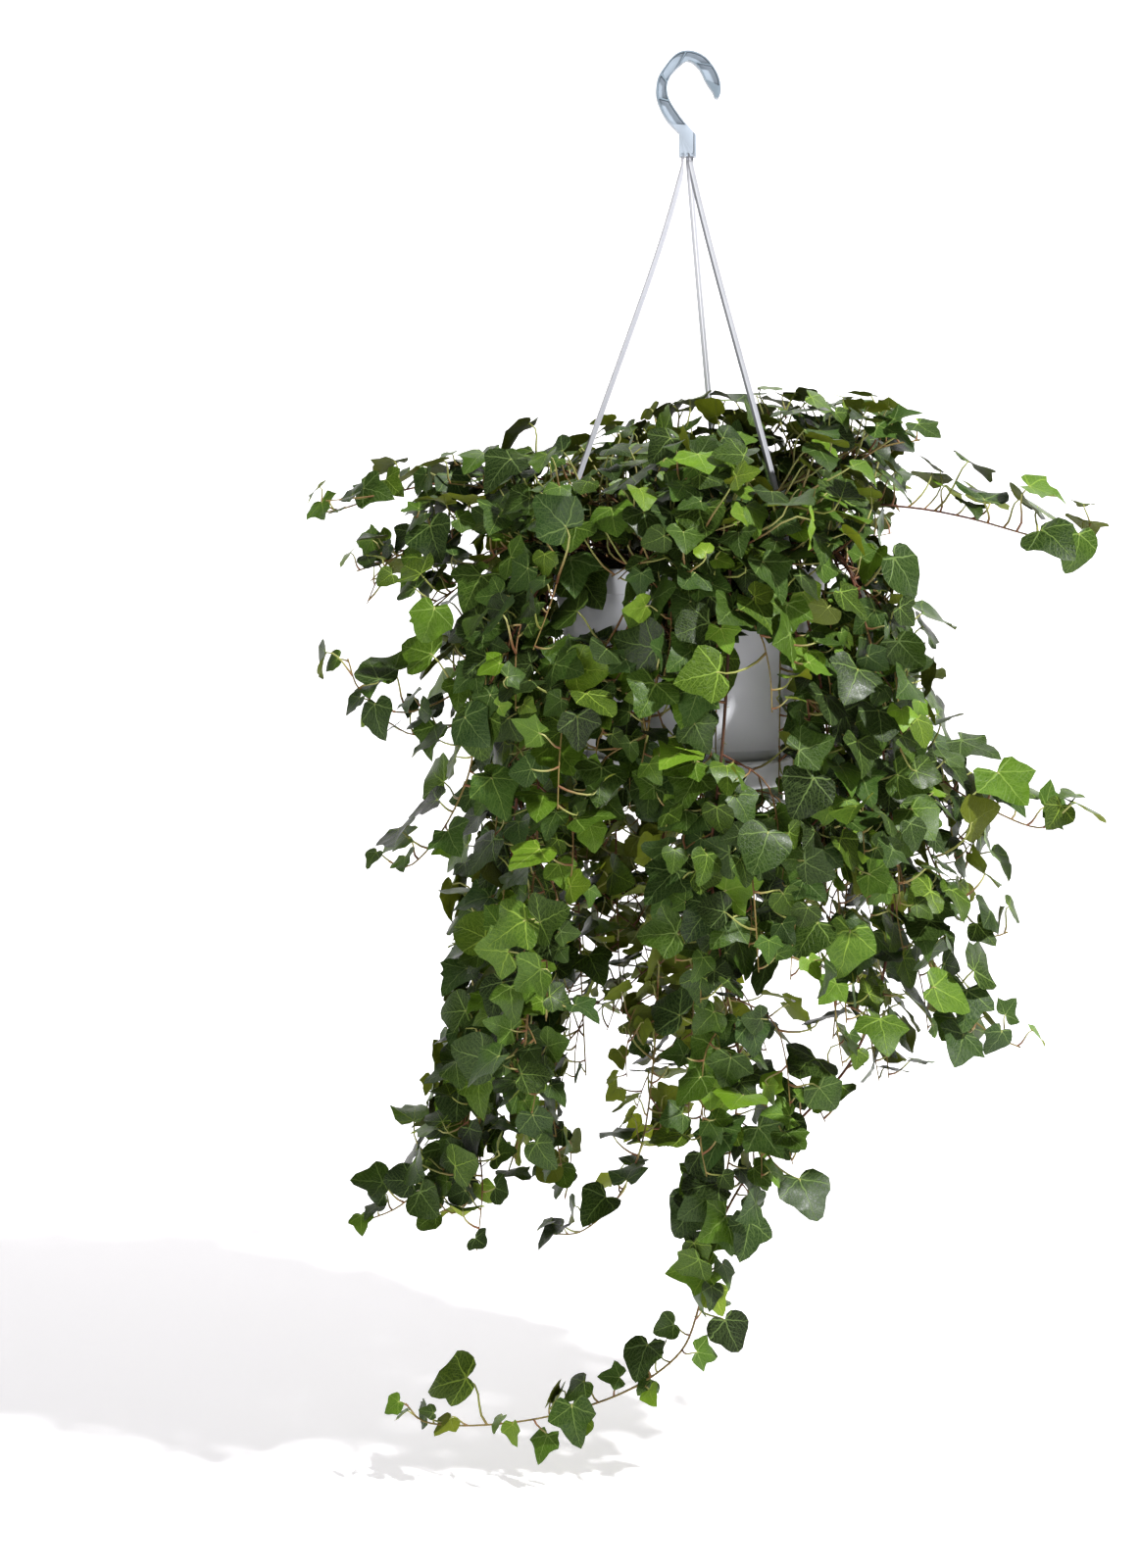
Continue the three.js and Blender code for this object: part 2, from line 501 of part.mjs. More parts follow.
// A stalk meets its blade from behind, and neither edge-on nor from the side.
function natural({ stalk, normal, tip, across }) {
  const fromBehind = stalk.dot(normal) > 0.4 || stalk.dot(tip) > 0.2;
  return fromBehind && stalk.dot(tip) > -0.75 && Math.abs(across.dot(stalk)) < 0.75;
}

// A solid with its box, so that far ones are passed over quickly.
function boxed(body, owner) {
  const { min, max } = body.boundingBox();
  return { body, owner, box: new THREE.Box3(new THREE.Vector3(...min), new THREE.Vector3(...max)) };
}

function clears(trial, others) {
  const near = others.filter(({ box }) => box.intersectsBox(trial.box));
  return near.every(({ body }) => trial.body.intersect(body).isEmpty());
}

// All the stems, each joined with the leaves that find a clear place.
function vines(hardware) {
  const curves = VINES.map(stemCurve);
  const stems = curves.map((curve, number) => boxed(stem(curve, STEM_RADIUS), number));
  const placed = [...hardware, ...stems];
  return curves.map((curve, number) => {
    const bodies = [stems[number].body];
    const last = (curve.getLength() - BARE_ROOT) / LEAF_STEP;
    for (let index = 0; index < last; index += LEAVES_KEPT) {
      for (let attempt = 0; attempt < TRIES; attempt += 1) {
        const pose = leafPose(curve, number, index, attempt);
        if (!natural(pose)) continue;
        const trial = boxed(leaf(pose, CLEARANCE, true), number);
        const others = placed.filter(({ owner }) => owner !== number);
        const own = placed.filter(({ owner }) => owner === number);
        const blade = boxed(leaf(pose, CLEARANCE, false), number);
        if (!clears(trial, others) || !clears(blade, own)) continue;
        const grown = leaf(pose, 0, true);
        placed.push(boxed(grown, number));
        bodies.push(grown);
        break;
      }
    }
    return wasm.Manifold.union(bodies);
  });
}

function potted() {
  const object = new THREE.Group();
  const plant = new THREE.Group();
  plant.position.z = -RIM_DROP;
  object.add(part('hook', hook(), hookPlastic), plant);
  const hung = [];
  for (const { name, azimuth, start } of STRAPS) {
    const body = strap(start);
    const mesh = part(name, body, strapPlastic);
    mesh.rotation.z = THREE.MathUtils.degToRad(azimuth);
    object.add(mesh);
    hung.push(body.rotate([0, 0, azimuth]).translate([0, 0, RIM_DROP]));
  }
  const still = { pot: pot(), saucer: saucer(), soil: soil() };
  plant.add(part('pot', still.pot, potPlastic));
  plant.add(part('saucer', still.saucer, potPlastic));
  plant.add(part('soil', still.soil, soilBrown));
  const hardware = [...hung, ...Object.values(still)].map((body) => boxed(body, 'hardware'));
  vines(hardware).forEach((body, number) => {
    plant.add(part(`vine_${String(number + 1).padStart(2, '0')}`, body, leafGreen));
  });
  return object;
}

export default potted();
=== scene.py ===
"""The looks of a potted hanging ivy: fifty leafy stems in a pale grey pot that hangs from a moulded hook.

The stems, the pot, its saucer, the soil, the straps and the hook replace their plain solids with
finer pieces of the same form. Lengths here are in millimetres until a mesh is made in metres.
"""

import math
from functools import partial

import bmesh
import bpy
import numpy as np
from mathutils import Matrix, Vector
from mathutils.kdtree import KDTree


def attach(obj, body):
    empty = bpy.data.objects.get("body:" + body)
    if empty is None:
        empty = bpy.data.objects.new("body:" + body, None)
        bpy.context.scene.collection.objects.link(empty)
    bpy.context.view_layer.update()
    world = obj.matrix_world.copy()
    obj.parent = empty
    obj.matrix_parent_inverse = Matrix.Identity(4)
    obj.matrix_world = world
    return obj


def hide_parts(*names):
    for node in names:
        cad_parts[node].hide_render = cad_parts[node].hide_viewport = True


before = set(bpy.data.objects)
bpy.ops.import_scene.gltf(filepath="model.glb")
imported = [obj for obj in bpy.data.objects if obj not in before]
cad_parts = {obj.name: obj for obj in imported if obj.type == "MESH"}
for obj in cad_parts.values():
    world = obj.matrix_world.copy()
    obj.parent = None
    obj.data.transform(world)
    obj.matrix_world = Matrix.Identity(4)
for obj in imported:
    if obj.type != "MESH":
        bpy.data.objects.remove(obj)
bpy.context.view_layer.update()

MM = 0.001

# Pot, from its rim downwards
RIM_DROP = 440
RIM_RADIUS = 117.5
RIM_BAND = 21
RIM_STEP = 2.6
RIM_DRAFT = 0.5
RIM_EDGE = 1.2
POT_WALL = 2.2
WALL_FOOT_RADIUS = 91
WALL_DEPTH = 152
BASE_RADIUS = 87
BASE_DEPTH = 179.7
ROUND_SIDES = 96
SHARP_ANGLE = 32

# Saucer
SAUCER_RADIUS = 95
SAUCER_FOOT_RADIUS = 91
SAUCER_TOP = 160
SAUCER_FLOOR = 180
SAUCER_BASE = 184
SAUCER_WALL = 2

# Soil, mounded towards the front left
SOIL_LEVEL = -8
MOUND_HEIGHT = 17
MOUND_SPREAD = 46
MOUND_CENTRE = (-62, -42)
SOIL_RINGS = 40
SOIL_SIDES = 150
SEAT_GAP = 0.3

# Hook, from the shank's foot round the bow to the tip and back
HOOK_DEPTH = 10
SHANK_FOOT = -83
HOOK_OUTSIDE = [(-8, -63), (-19, -51), (-26.5, -36), (-28, -24), (-25, -12), (-12, 4.5), (0, 8.5), (13, 4), (22, -6),
                (27, -17), (28, -27), (26, -32.5)]
HOOK_INSIDE = [(21.5, -28), (15, -18), (9, -6.5), (0, 0), (-9, -5.5), (-16, -14), (-18.5, -23), (-16.5, -34),
               (-7, -49), (7, -65)]
CHANNEL_RAIL = 1.9
CHANNEL_DEPTH = 2.0
CHANNEL_SLOPE = 0.8
GROOVE_LINE = [(-5.2, -47.5), (4.6, -62.5), (4.6, -84)]
GROOVE_WIDTH = 0.7
HOOK_STEPS = 120
NOTCHES = 3
NOTCH_STEP = 4.4
NOTCH_DEPTH = 1.6
NOTCH = [(-1.5, -1), (1.5, -1), (1.5, 1.6), (1.1, 2.5), (0, 3), (-1.1, 2.5), (-1.5, 1.6)]
CHANNEL_CELLS = [(0.06, 0.205), (0.215, 0.365), (0.375, 0.53), (0.54, 0.71), (0.72, 0.87)]

# Straps
STRAP_WIDTH = 5.4
STRAP_THICKNESS = 1.3
STRAP_POCKET = 9
STRAP_SEAT_RADIUS = RIM_RADIUS + SEAT_GAP + STRAP_THICKNESS / 2
STRAP_BOW = [(33, 260), (99, 78)]
TOE_HEIGHT = 3
STRAP_TAIL = 0.4
RIB_DEPTH = 3.8
RIB_WIDTH = 1.6
RIB_STEPS = (1, 7)
STRAP_STEPS = 9
STRAPS = [("strap_left", -168, 5), ("strap_right", -48, 3), ("strap_rear", 72, 3)]

# Plastics: roughness, and the darkest and lightest colour. Above its plate, the hook turns to its rail's colour.
PLASTICS = [
    ("hook", 0.34, (0.29, 0.335, 0.39), (0.35, 0.395, 0.45)),
    # The channel's floor: the hook's plastic painted a little darker, as painted shade in the recess.
    ("hook_channel", 0.4, (0.23, 0.28, 0.335), (0.30, 0.35, 0.405)),
    # The channel's sloping edges and the groove: painted dark as shade.
    ("hook_edge", 0.45, (0.06, 0.08, 0.10), (0.09, 0.11, 0.13)),
    # The three straps are one white plastic: the rear strap, which stands in shade, is painted lighter, and the right
    # strap, whose face takes the key lamp, is painted darker: painted light and shade.
    ("strap_left", 0.36, (0.325, 0.33, 0.36), (0.395, 0.4, 0.43)),
    ("strap_right", 0.42, (0.225, 0.23, 0.25), (0.27, 0.275, 0.295)),
    ("strap_rear", 0.36, (0.52, 0.525, 0.56), (0.6, 0.605, 0.64)),
]
HOOK_PLATE = (-0.06, -0.046)
HOOK_RAIL = (0.17, 0.215, 0.255)

# Floor, backdrop, lamps and camera. Lamps and camera are placed in metres.
FLOOR = -RIM_DROP - 766
FLOOR_SPAN = (-3000, 2200)
FLOOR_HALF_WIDTH = 6000
FLOOR_GLOW = 0.315
BACKDROP_BEND = 1500
BACKDROP_HEIGHT = 5000
LAMPS = [
    ("key_light", (2.75, -1.75, 3.0), (0, 0, -0.7), 0.24, 475),
    ("fill_light", (-1.6, -2.9, -0.9), (0, 0, -0.7), 1.6, 58),
    ("backdrop_light", (0, 1.1, 1.6), (0, 3.4, 0.2), 2.4, 33),
]
WORLD_LIGHT = 0.25
CAMERA_PLACE = (-0.103, -1.889, -0.436)
CAMERA_SHIFT = -0.1403

# Kinds of points and lines that a leafy stem grows from
STEM, STALK, ROOTLET, LEAF = range(4)

# Stems and leaves
ROOT_DEPTH = -18
ROOT_RISE = 20
LEAF_STEP = 24
TIP_SETBACK = 3
BARE_ROOT = 54
BARE_FOOT = 30
BARE_SHOOT_FOOT = 12
BLADE_THICKNESS = 0.9
LEAF_LENGTH = 33
FIRM_SIZES = (0.8, 0.42)
LOOSE_SIZES = (0.55, 0.52)
TIP_LEAF_SHARE = 0.55
YOUNGEST = 0.68
GROWN_AFTER = 110
LOOSENESS = 0.4
LOOSER = 0.05
EASY_LOOSENESS = 0.72
LONGER = 0.05
TRIES = 16

# For each side of the plant, its stems: where the foot stands in the soil, and the points that the stem grows
# through, from the middle of the pot's rim
VINES = {
    "front": [
        [(-14, -60), (-15, -88, 18), (-17, -118, 24), (-20, -142, -10), (-30, -150, -70), (-40, -153, -125),
         (-46, -156, -158)],
        [(6, -52), (8, -85, 24), (8, -118, 30), (6, -146, -6), (4, -154, -70), (8, -152, -140), (30, -155, -200),
         (60, -160, -228)],
        [(30, -62), (38, -88, 18), (50, -114, 20), (72, -130, -20), (86, -136, -90), (93, -138, -150),
         (100, -140, -200), (104, -135, -262)],
        [(-34, -56), (-38, -88, 18), (-44, -116, 16), (-54, -138, -24), (-80, -142, -70), (-106, -140, -92),
         (-128, -134, -110)],
        [(-3, -74), (-4, -98, 10), (-6, -128, 8), (-14, -141, -30), (-18, -143, -52)],
        [(20, -76), (24, -100, 12), (30, -126, 10), (36, -138, -14), (36, -141, -36)],
        [(15, -42), (22, -84, 30), (27, -122, 36), (25, -152, 4), (23, -163, -60), (18, -164, -140), (10, -152, -235),
         (20, -132, -320), (35, -116, -400), (30, -102, -470), (18, -92, -540), (4, -86, -600)],
    ],
    "right": [
        [(60, -4), (90, -4, 32), (140, -4, 54), (190, -6, 53), (240, -10, 44), (296, -16, 28), (332, -20, 22),
         (345, -20, 40)],
        [(46, -16), (72, -22, 42), (120, -26, 84), (165, -26, 104), (196, -24, 110)],
        [(74, 16), (112, 24, 26), (142, 32, 8), (158, 36, -50), (162, 34, -130), (160, 30, -210), (158, 26, -280)],
        [(66, -20), (108, -32, 26), (146, -42, 4), (164, -44, -60), (178, -42, -130), (212, -38, -178),
         (262, -36, -208), (300, -38, -220), (322, -38, -200)],
        [(54, -44), (86, -72, 22), (120, -98, 10), (140, -112, -50), (150, -118, -105), (166, -120, -134),
         (180, -116, -118)],
        [(56, -32), (98, -64, 22), (132, -86, -8), (150, -96, -90), (158, -96, -180), (175, -92, -270),
         (205, -86, -345), (245, -80, -385), (272, -78, -398)],
        [(72, -32), (112, -54, 14), (150, -70, -30), (170, -76, -120), (188, -74, -210), (214, -70, -270),
         (246, -66, -306), (264, -66, -304)],
        [(42, -62), (56, -90, 16), (74, -120, 8), (94, -126, -60), (108, -122, -150), (114, -117, -240),
         (120, -110, -320), (124, -104, -372)],
        [(66, 30), (100, 48, 26), (136, 66, 6), (150, 72, -80), (152, 70, -180), (146, 64, -280), (138, 58, -360),
         (132, 54, -420)],
        [(80, 2), (118, 6, 20), (148, 8, -8), (168, 8, -80), (186, 4, -150), (218, 0, -205), (241, -2, -245),
         (233, -4, -275)],
        [(78, -14), (116, -22, 12), (148, -26, -20), (166, -32, -120), (172, -44, -230), (164, -52, -330),
         (136, -58, -410), (86, -64, -466), (44, -68, -510), (16, -70, -565), (4, -70, -620), (-12, -70, -656),
         (-54, -70, -686), (-112, -70, -706), (-172, -70, -715), (-222, -70, -713), (-240, -70, -697)],
    ],
    "left": [
        [(-58, 8), (-92, 10, 34), (-150, 8, 60), (-205, 4, 74), (-255, -2, 66), (-298, -8, 52), (-318, -10, 48)],
        [(-52, -8), (-92, -12, 32), (-150, -22, 46), (-205, -28, 32), (-250, -34, 10), (-284, -36, -2)],
        [(-52, -32), (-92, -56, 22), (-130, -74, 6), (-160, -84, -40), (-182, -88, -88), (-215, -88, -112),
         (-248, -90, -118), (-276, -92, -100), (-286, -92, -74)],
        [(-66, -20), (-106, -37, 20), (-140, -46, -30), (-165, -52, -90), (-195, -54, -128), (-232, -54, -140),
         (-258, -54, -128)],
        [(-46, -44), (-80, -76, 20), (-112, -104, 6), (-142, -116, -40), (-166, -118, -90), (-178, -118, -130),
         (-186, -118, -170), (-206, -118, -212), (-232, -118, -241), (-250, -118, -238)],
        [(-70, -34), (-106, -50, 24), (-150, -60, 20), (-190, -66, -10), (-222, -70, -38)],
        [(-74, -4), (-111, -6, 23), (-136, -12, -28), (-144, -18, -118), (-150, -22, -220), (-162, -28, -320),
         (-176, -32, -400), (-178, -34, -470), (-186, -36, -530), (-202, -38, -548), (-218, -40, -534)],
        [(-72, 14), (-110, 22, 18), (-140, 28, -20), (-150, 32, -110), (-146, 34, -210), (-150, 32, -310),
         (-160, 28, -400), (-168, 24, -470)],
        [(-62, -48), (-92, -70, 14), (-118, -88, -8), (-126, -100, -75), (-128, -114, -150), (-130, -122, -230),
         (-140, -116, -310), (-146, -110, -380), (-142, -104, -440)],
        [(-62, 32), (-98, 48, 20), (-126, 62, -10), (-138, 66, -100), (-138, 62, -200), (-130, 56, -300),
         (-124, 50, -400), (-118, 44, -480), (-110, 40, -530)],
        [(-48, 22), (-88, 34, 32), (-132, 40, 18), (-152, 38, -60), (-160, 30, -160), (-168, 18, -260),
         (-178, 6, -360), (-188, -6, -450), (-212, -14, -510), (-246, -20, -545), (-280, -22, -560)],
    ],
    "back": [
        [(-8, 60), (-10, 92, 24), (-12, 122, 16), (-14, 140, -50), (-12, 142, -150), (-16, 136, -250),
         (-20, 124, -350), (-26, 100, -445), (-38, 76, -520), (-62, 60, -566), (-92, 50, -590), (-118, 48, -592)],
        [(-26, 54), (-38, 88, 22), (-50, 116, 12), (-56, 132, -60), (-58, 134, -160), (-60, 128, -260),
         (-58, 120, -350), (-54, 112, -410)],
        [(32, 50), (44, 82, 24), (56, 110, 14), (62, 128, -50), (60, 130, -150), (52, 124, -250), (46, 118, -340),
         (40, 110, -420), (34, 104, -470)],
        [(54, 42), (80, 66, 24), (106, 88, 8), (116, 100, -70), (114, 100, -170), (104, 96, -270), (96, 90, -350)],
        [(-46, 44), (-72, 72, 22), (-96, 96, 6), (-106, 108, -80), (-104, 108, -180), (-96, 100, -280),
         (-92, 94, -380), (-88, 86, -460)],
        [(6, 62), (9, 94, 28), (16, 124, 14), (20, 142, -60), (22, 146, -160), (16, 140, -260), (14, 132, -350),
         (10, 126, -440), (6, 120, -520)],
        [(14, 42), (18, 84, 48), (12, 140, 66), (8, 195, 68), (6, 240, 52), (6, 268, 34)],
        [(-26, 38), (-46, 92, 44), (-70, 144, 58), (-92, 190, 54), (-108, 226, 38), (-118, 250, 20)],
        [(40, 52), (72, 86, 38), (110, 124, 52), (144, 156, 44), (170, 180, 24), (184, 192, 0)],
    ],
    "crown": [
        [(-20, 20), (-30, 26, 50), (-48, 34, 90), (-60, 40, 112)],
        [(-4, 28), (-6, 34, 60), (-8, 40, 110), (-6, 44, 134)],
        [(14, 24), (20, 30, 50), (26, 36, 96), (32, 40, 118)],
        [(30, 14), (44, 20, 50), (62, 28, 104), (74, 34, 138)],
        [(42, 0), (66, 0, 54), (104, 4, 100), (138, 6, 130)],
        [(34, -26), (58, -40, 44), (96, -52, 80), (130, -58, 98)],
        [(56, 14), (86, 20, 46), (128, 26, 80), (176, 30, 96)],
        [(-34, 2), (-58, 2, 54), (-104, 6, 84), (-154, 8, 94), (-204, 6, 90)],
        [(-42, 14), (-74, 22, 52), (-124, 34, 78), (-178, 40, 82), (-236, 42, 72)],
        [(-28, -24), (-44, -46, 36), (-64, -76, 56), (-86, -106, 54)],
        [(0, -32), (2, -58, 46), (4, -94, 64), (6, -128, 58)],
        [(20, -40), (36, -70, 44), (52, -104, 56), (70, -134, 46)],
    ],
}

# Half of a blade's outline, across and along, as shares of its length: a plain heart, the three-lobed blade of most
# of the leaves, and one with two more lobes at its base
HEART = [(0, -0.02), (0.12, -0.14), (0.28, -0.19), (0.44, -0.14), (0.56, 0.0), (0.61, 0.17), (0.6, 0.34),
         (0.53, 0.5), (0.43, 0.65), (0.3, 0.81), (0.15, 0.93), (0, 0.98)]
LOBED = [(0, -0.02), (0.11, -0.13), (0.27, -0.2), (0.44, -0.16), (0.57, -0.03), (0.66, 0.12), (0.68, 0.27),
         (0.57, 0.37), (0.41, 0.46), (0.32, 0.64), (0.19, 0.85), (0, 1)]
FIVE_LOBED = [(0, -0.02), (0.1, -0.15), (0.31, -0.3), (0.42, -0.18), (0.46, -0.04), (0.58, 0.12), (0.7, 0.32),
              (0.49, 0.36), (0.33, 0.44), (0.27, 0.62), (0.14, 0.84), (0, 1)]

# Points inside a blade: three along the midrib and one on each side vein. The faces of its right half are lists of
# points: numbers count along the half outline, and the others are named here.
INSIDE = {"joint": (0, 0.06), "middle": (0, 0.36), "upper": (0, 0.68), "side": (0.32, 0.16)}
HALF_BLADE = [("joint", 0, 1), ("joint", 1, 2), ("joint", 2, 3), ("joint", 3, "side"), (3, 4, "side"), ("side", 4, 5),
              ("side", 5, 6), ("side", 6, 7), ("joint", "side", "middle"), ("side", 7, "middle"), (7, 8, "middle"),
              ("middle", 8, "upper"), (8, 9, "upper"), ("upper", 9, 10), ("upper", 10, 11)]

# Angles of the side veins and the base veins from the midrib
SIDE_VEIN = 1.12
BASE_VEIN = 2.02

# The plain solids' stems: the length of their straight stretches, how many leaf steps there are to a leaf, and how
# near a corner has to be to a leaf's tip to be that leaf
STEM_STEP = 60
LEAVES_KEPT = 3
TIP_MATCH = 0.06

# Where leaves face: all to the light above the front, and the added ones also straight to the front
LIGHT = np.array([0.1, -0.55, 0.75])
UP = np.array([0.0, 0.0, 1.0])
TO_WINDOW = np.array([0.1, -1.0, 0.0])
CROWN_FOOT = -25
CROWN_RISE = 60
ROOTLET_STEP = 30

# For each side of the plant: leaf steps between its stems' leaves, and places for side shoots in each shoot step of
# stem. Every other place stays bare, but not on the arms to the left.
CROWDED = {"front": (0.36, 3.6), "right": (0.58, 1.1), "left": (0.5, 1.8), "back": (0.45, 2.6), "crown": (0.46, 2.6)}
SHOOT_STEP = 50
SHOOT_SPAN = (0.16, 0.8)
SHOOT_LENGTH = (45, 120)
SHOOT_LEAF_STEP = 0.62
BAREST_SHOOT = 22
SHORTEST_SHOOT = 0.15
LOWEST_SHOOT = -500
MOST_SHOOTS = 40
SHOOT_SEEDS = 1000
HANGER_SEEDS = 5000

# Where the plant thins out: its foot, and its arms to the right and the left
SPARSE_BELOW = -600
SPARSE_BEYOND = 205
ARM_BEYOND = 130
FAR_FROM = 110
LOW_LOOSER = 0.3
LOW_SIZE = 0.75
FAR_SIZE = 1.25

# How far leaves stay off the pot, how far they may be pushed out of it, and the limits that they stay within: across
# and in depth, and on the lower right how far past the reach of the side shoots
POT_SPARE = 3
LEAF_SPARE = 2.5
MOST_PUSHED = 30
FIRST_LIMIT = (-350, -214)
LAST_LIMIT = (374, 296)
LOW_RIGHT = (-620, -390)
LOW_RIGHT_SPARE = 10

# Thin shoots that hang close in front of the pot: where each hangs, and its highest and lowest points
HANGERS = [(-67, -44, -196), (-53, -30, -200), (-38, -28, -190), (-22, -30, -102), (-24, -130, -200), (-8, -36, -200),
           (6, -30, -190), (17, -40, -205), (72, -40, -190), (86, -60, -196)]
HANGER_GAP = 8
HANGER_LEAF_STEP = 0.55

# Where the pot, the soil or the daylight behind show between the leaves: spans across and up from the rim's middle,
# and how far forward of the middle a leaf has to be to hide them
BARE_SPOTS = [((-114, -64), (-46, 4), -30), ((-100, -30), (4, 18), -30), ((24, 62), (-152, -60), -30),
              ((38, 68), (-186, -152), -30), ((-40, -20), (-126, -104), -30), ((-104, -72), (-488, -410), 300),
              ((62, 90), (-410, -340), 300), ((50, 84), (-346, -318), 300),
              ((-92, -70), (104, 132), -12), ((-104, -84), (80, 104), -14), ((44, 64), (108, 152), -46),
              ((54, 76), (64, 108), -62)]

# How high the crown rises across the plant, and how far its side shoots reach to the left and right at each height
CROWN_TOP = [(-330, 58), (-255, 92), (-90, 116), (-20, 154), (60, 162), (150, 154), (210, 128), (350, 74)]
REACH = [(-612, -27, 24), (-570, -138, 49), (-527, -278, 66), (-484, -252, 83), (-442, -231, 117), (-416, -218, 240),
         (-374, -223, 270), (-323, -235, 253), (-272, -214, 240), (-230, -172, 253), (-187, -163, 253),
         (-153, -189, 200), (-102, -197, 196), (-51, -231, 194), (-10, -272, 183), (12, -300, 183), (40, -320, 183),
         (85, -280, 211)]


def unit(vector):
    return vector / np.linalg.norm(vector)


def stream(seed):
    """A repeatable stream of numbers from 0 to 1, the same as the one that placed the plain solids' leaves."""
    mask = 0xFFFFFFFF
    state = int(seed) & mask

    def draw():
        nonlocal state
        state = (state + 0x6D2B79F5) & mask
        word = ((state ^ (state >> 15)) * (state | 1)) & mask
        word ^= (word + ((word ^ (word >> 7)) * (word | 61) & mask)) & mask
        return ((word ^ (word >> 14)) & mask) / 2**32

    return draw


class Path:
    """A smooth curve through points, measured along its length."""

    MARKS = np.linspace(0, 1, 201)

    def __init__(self, points):
        points = [np.array(point, float) for point in points]
        self.points = [2 * points[0] - points[1], *points, 2 * points[-1] - points[-2]]
        spots = np.array([self.spot(mark) for mark in self.MARKS])
        self.lengths = np.concatenate([[0], np.cumsum(np.linalg.norm(np.diff(spots, axis=0), axis=1))])
        self.length = self.lengths[-1]
        self.end = 1

    def spot(self, mark):
        spans = len(self.points) - 3
        at = min(max(mark, 0), 1) * spans
        first = min(int(at), spans - 1)
        before, a, b, after = self.points[first : first + 4]
        t = at - first
        start, end = (b - before) / 2, (after - a) / 2
        return a + start * t + (3 * (b - a) - 2 * start - end) * t**2 + (2 * (a - b) + start + end) * t**3

    def mark(self, share):
        return np.interp(share * self.length, self.lengths, self.MARKS)

    def at(self, share):
        return self.spot(self.mark(share))

    def along(self, share):
        mark = self.mark(share)
        return unit(self.spot(min(mark + 1e-4, 1)) - self.spot(max(mark - 1e-4, 0)))


def chord_point(path, share):
    """The point on the plain solid's straight stretch at a share of the stem's length."""
    steps = max(4, math.floor(path.length / STEM_STEP + 0.5))
    step = min(int(share * steps), steps - 1)
    start, end = path.at(step / steps), path.at((step + 1) / steps)
    return start + (end - start) * (share * steps - step)


def risen(point):
    """How far a point is up into the crown: 0 below the pot's rim, 1 well above it."""
    return min(max((point[2] - CROWN_FOOT) / CROWN_RISE, 0), 1)


def leaf_pose(path, number, index, attempt, firm=False):
    """Where leaf `index`, counted from the stem's tip, stands and which way it faces.

    A firm leaf is one that the plain solid has too. The others stand looser, on a longer stalk at each attempt.
    """
    draw = stream(number * 10007 + round(index * 101) + attempt * 7)

    def spread(size):
        return (draw() * 2 - 1) * size

    def wander():
        return np.array([spread(1), spread(1), spread(1)])

    share = max(0, 1 - (index * LEAF_STEP + TIP_SETBACK) / path.length)
    foot = chord_point(path, share) if firm else path.at(share)
    low = foot[2] < SPARSE_BELOW and not firm
    far_right = foot[0] > SPARSE_BEYOND
    on_arm = foot[0] < -ARM_BEYOND or far_right
    run = path.along(share)
    outward = unit(foot * [1, 1, 0])
    above = risen(foot)
    level = 1 - abs(run[2])
    lift = max(above, 0.85 * level)
    faces = outward * (0.75 - 0.35 * lift) + LIGHT * (0.55 - 0.35 * above) + UP * (0.1 + 0.35 * lift + 0.5 * above)
    if not firm:
        faces = unit(faces + TO_WINDOW * (0.2 * above + (0.4 * level if on_arm else 0)))
    faces = unit(faces)
    side = unit(np.cross(run, faces)) * (1 if math.floor(index) % 2 else -1)
    loose = LOOSENESS if firm else EASY_LOOSENESS * (1 - (0 if on_arm else 0.3) * above)
    loose = loose + LOOSER * attempt + (LOW_LOOSER if low else 0)
    stalk = side * (0.85 - 0.4 * lift) + faces * (0.5 - 0.25 * lift) + UP * (0.2 + 0.7 * lift) + run * 0.4 * level
    stalk = unit(stalk + wander() * loose)
    normal = unit(faces + wander() * loose)
    tip = side * 0.6 + outward * (0.2 + 0.5 * lift) + UP * (-0.8 * (1 - lift) - 0.1)
    tip = tip + wander() * loose * (1 if firm else 1.3)
    tip = unit(tip - normal * np.dot(tip, normal))
    age = min(1, (TIP_LEAF_SHARE if firm else YOUNGEST) + index * LEAF_STEP / GROWN_AFTER) * (LOW_SIZE if low else 1)
    smallest, spare = FIRM_SIZES if firm else LOOSE_SIZES
    size = LEAF_LENGTH * age * ((smallest + spare * draw()) * (FAR_SIZE if far_right and not firm else 1))
    reach = size * (0.45 + 0.65 * draw() + 0.35 * above)
    if not firm:
        reach *= (1 + LONGER * attempt) * (1 + (-0.35 if on_arm else 0.4) * above)
    return {
        "share": share,
        "foot": path.at(share),
        "run": run,
        "joint": foot + stalk * reach,
        "stalk": stalk,
        "normal": normal,
        "tip": tip,
        "across": np.cross(tip, normal),
        "size": size,
        "cup": 0.1 + spread(0.08 if firm else 0.2),
        "droop": 0.2 + spread(0.14 if firm else 0.3),
        "age": age,
        "fresh": draw(),
        "shape": draw(),
        "seed": draw(),
    }


def natural(pose):
    """A stalk meets its blade from behind, and neither edge-on nor from the side."""
    by_normal, by_tip = np.dot(pose["stalk"], pose["normal"]), np.dot(pose["stalk"], pose["tip"])
    behind = by_normal > 0.4 or by_tip > 0.2
    return behind and by_tip > -0.75 and abs(np.dot(pose["across"], pose["stalk"])) < 0.75


def tip_corner(pose):
    """The upper corner at the very tip of a leaf's plain solid."""
    rise = BLADE_THICKNESS / 2 - pose["droop"] * pose["size"]
    return pose["joint"] + pose["tip"] * pose["size"] + pose["normal"] * rise


def shell_radius(height):
    """How far out the pot and its saucer reach at a height below the rim."""
    heights = [-SAUCER_BASE, -SAUCER_TOP, -WALL_DEPTH, -RIM_BAND, -RIM_BAND + 0.1, 0]
    radii = [SAUCER_FOOT_RADIUS, SAUCER_RADIUS, WALL_FOOT_RADIUS, RIM_RADIUS - RIM_STEP, RIM_RADIUS, RIM_RADIUS]
    return np.interp(height, heights, radii)


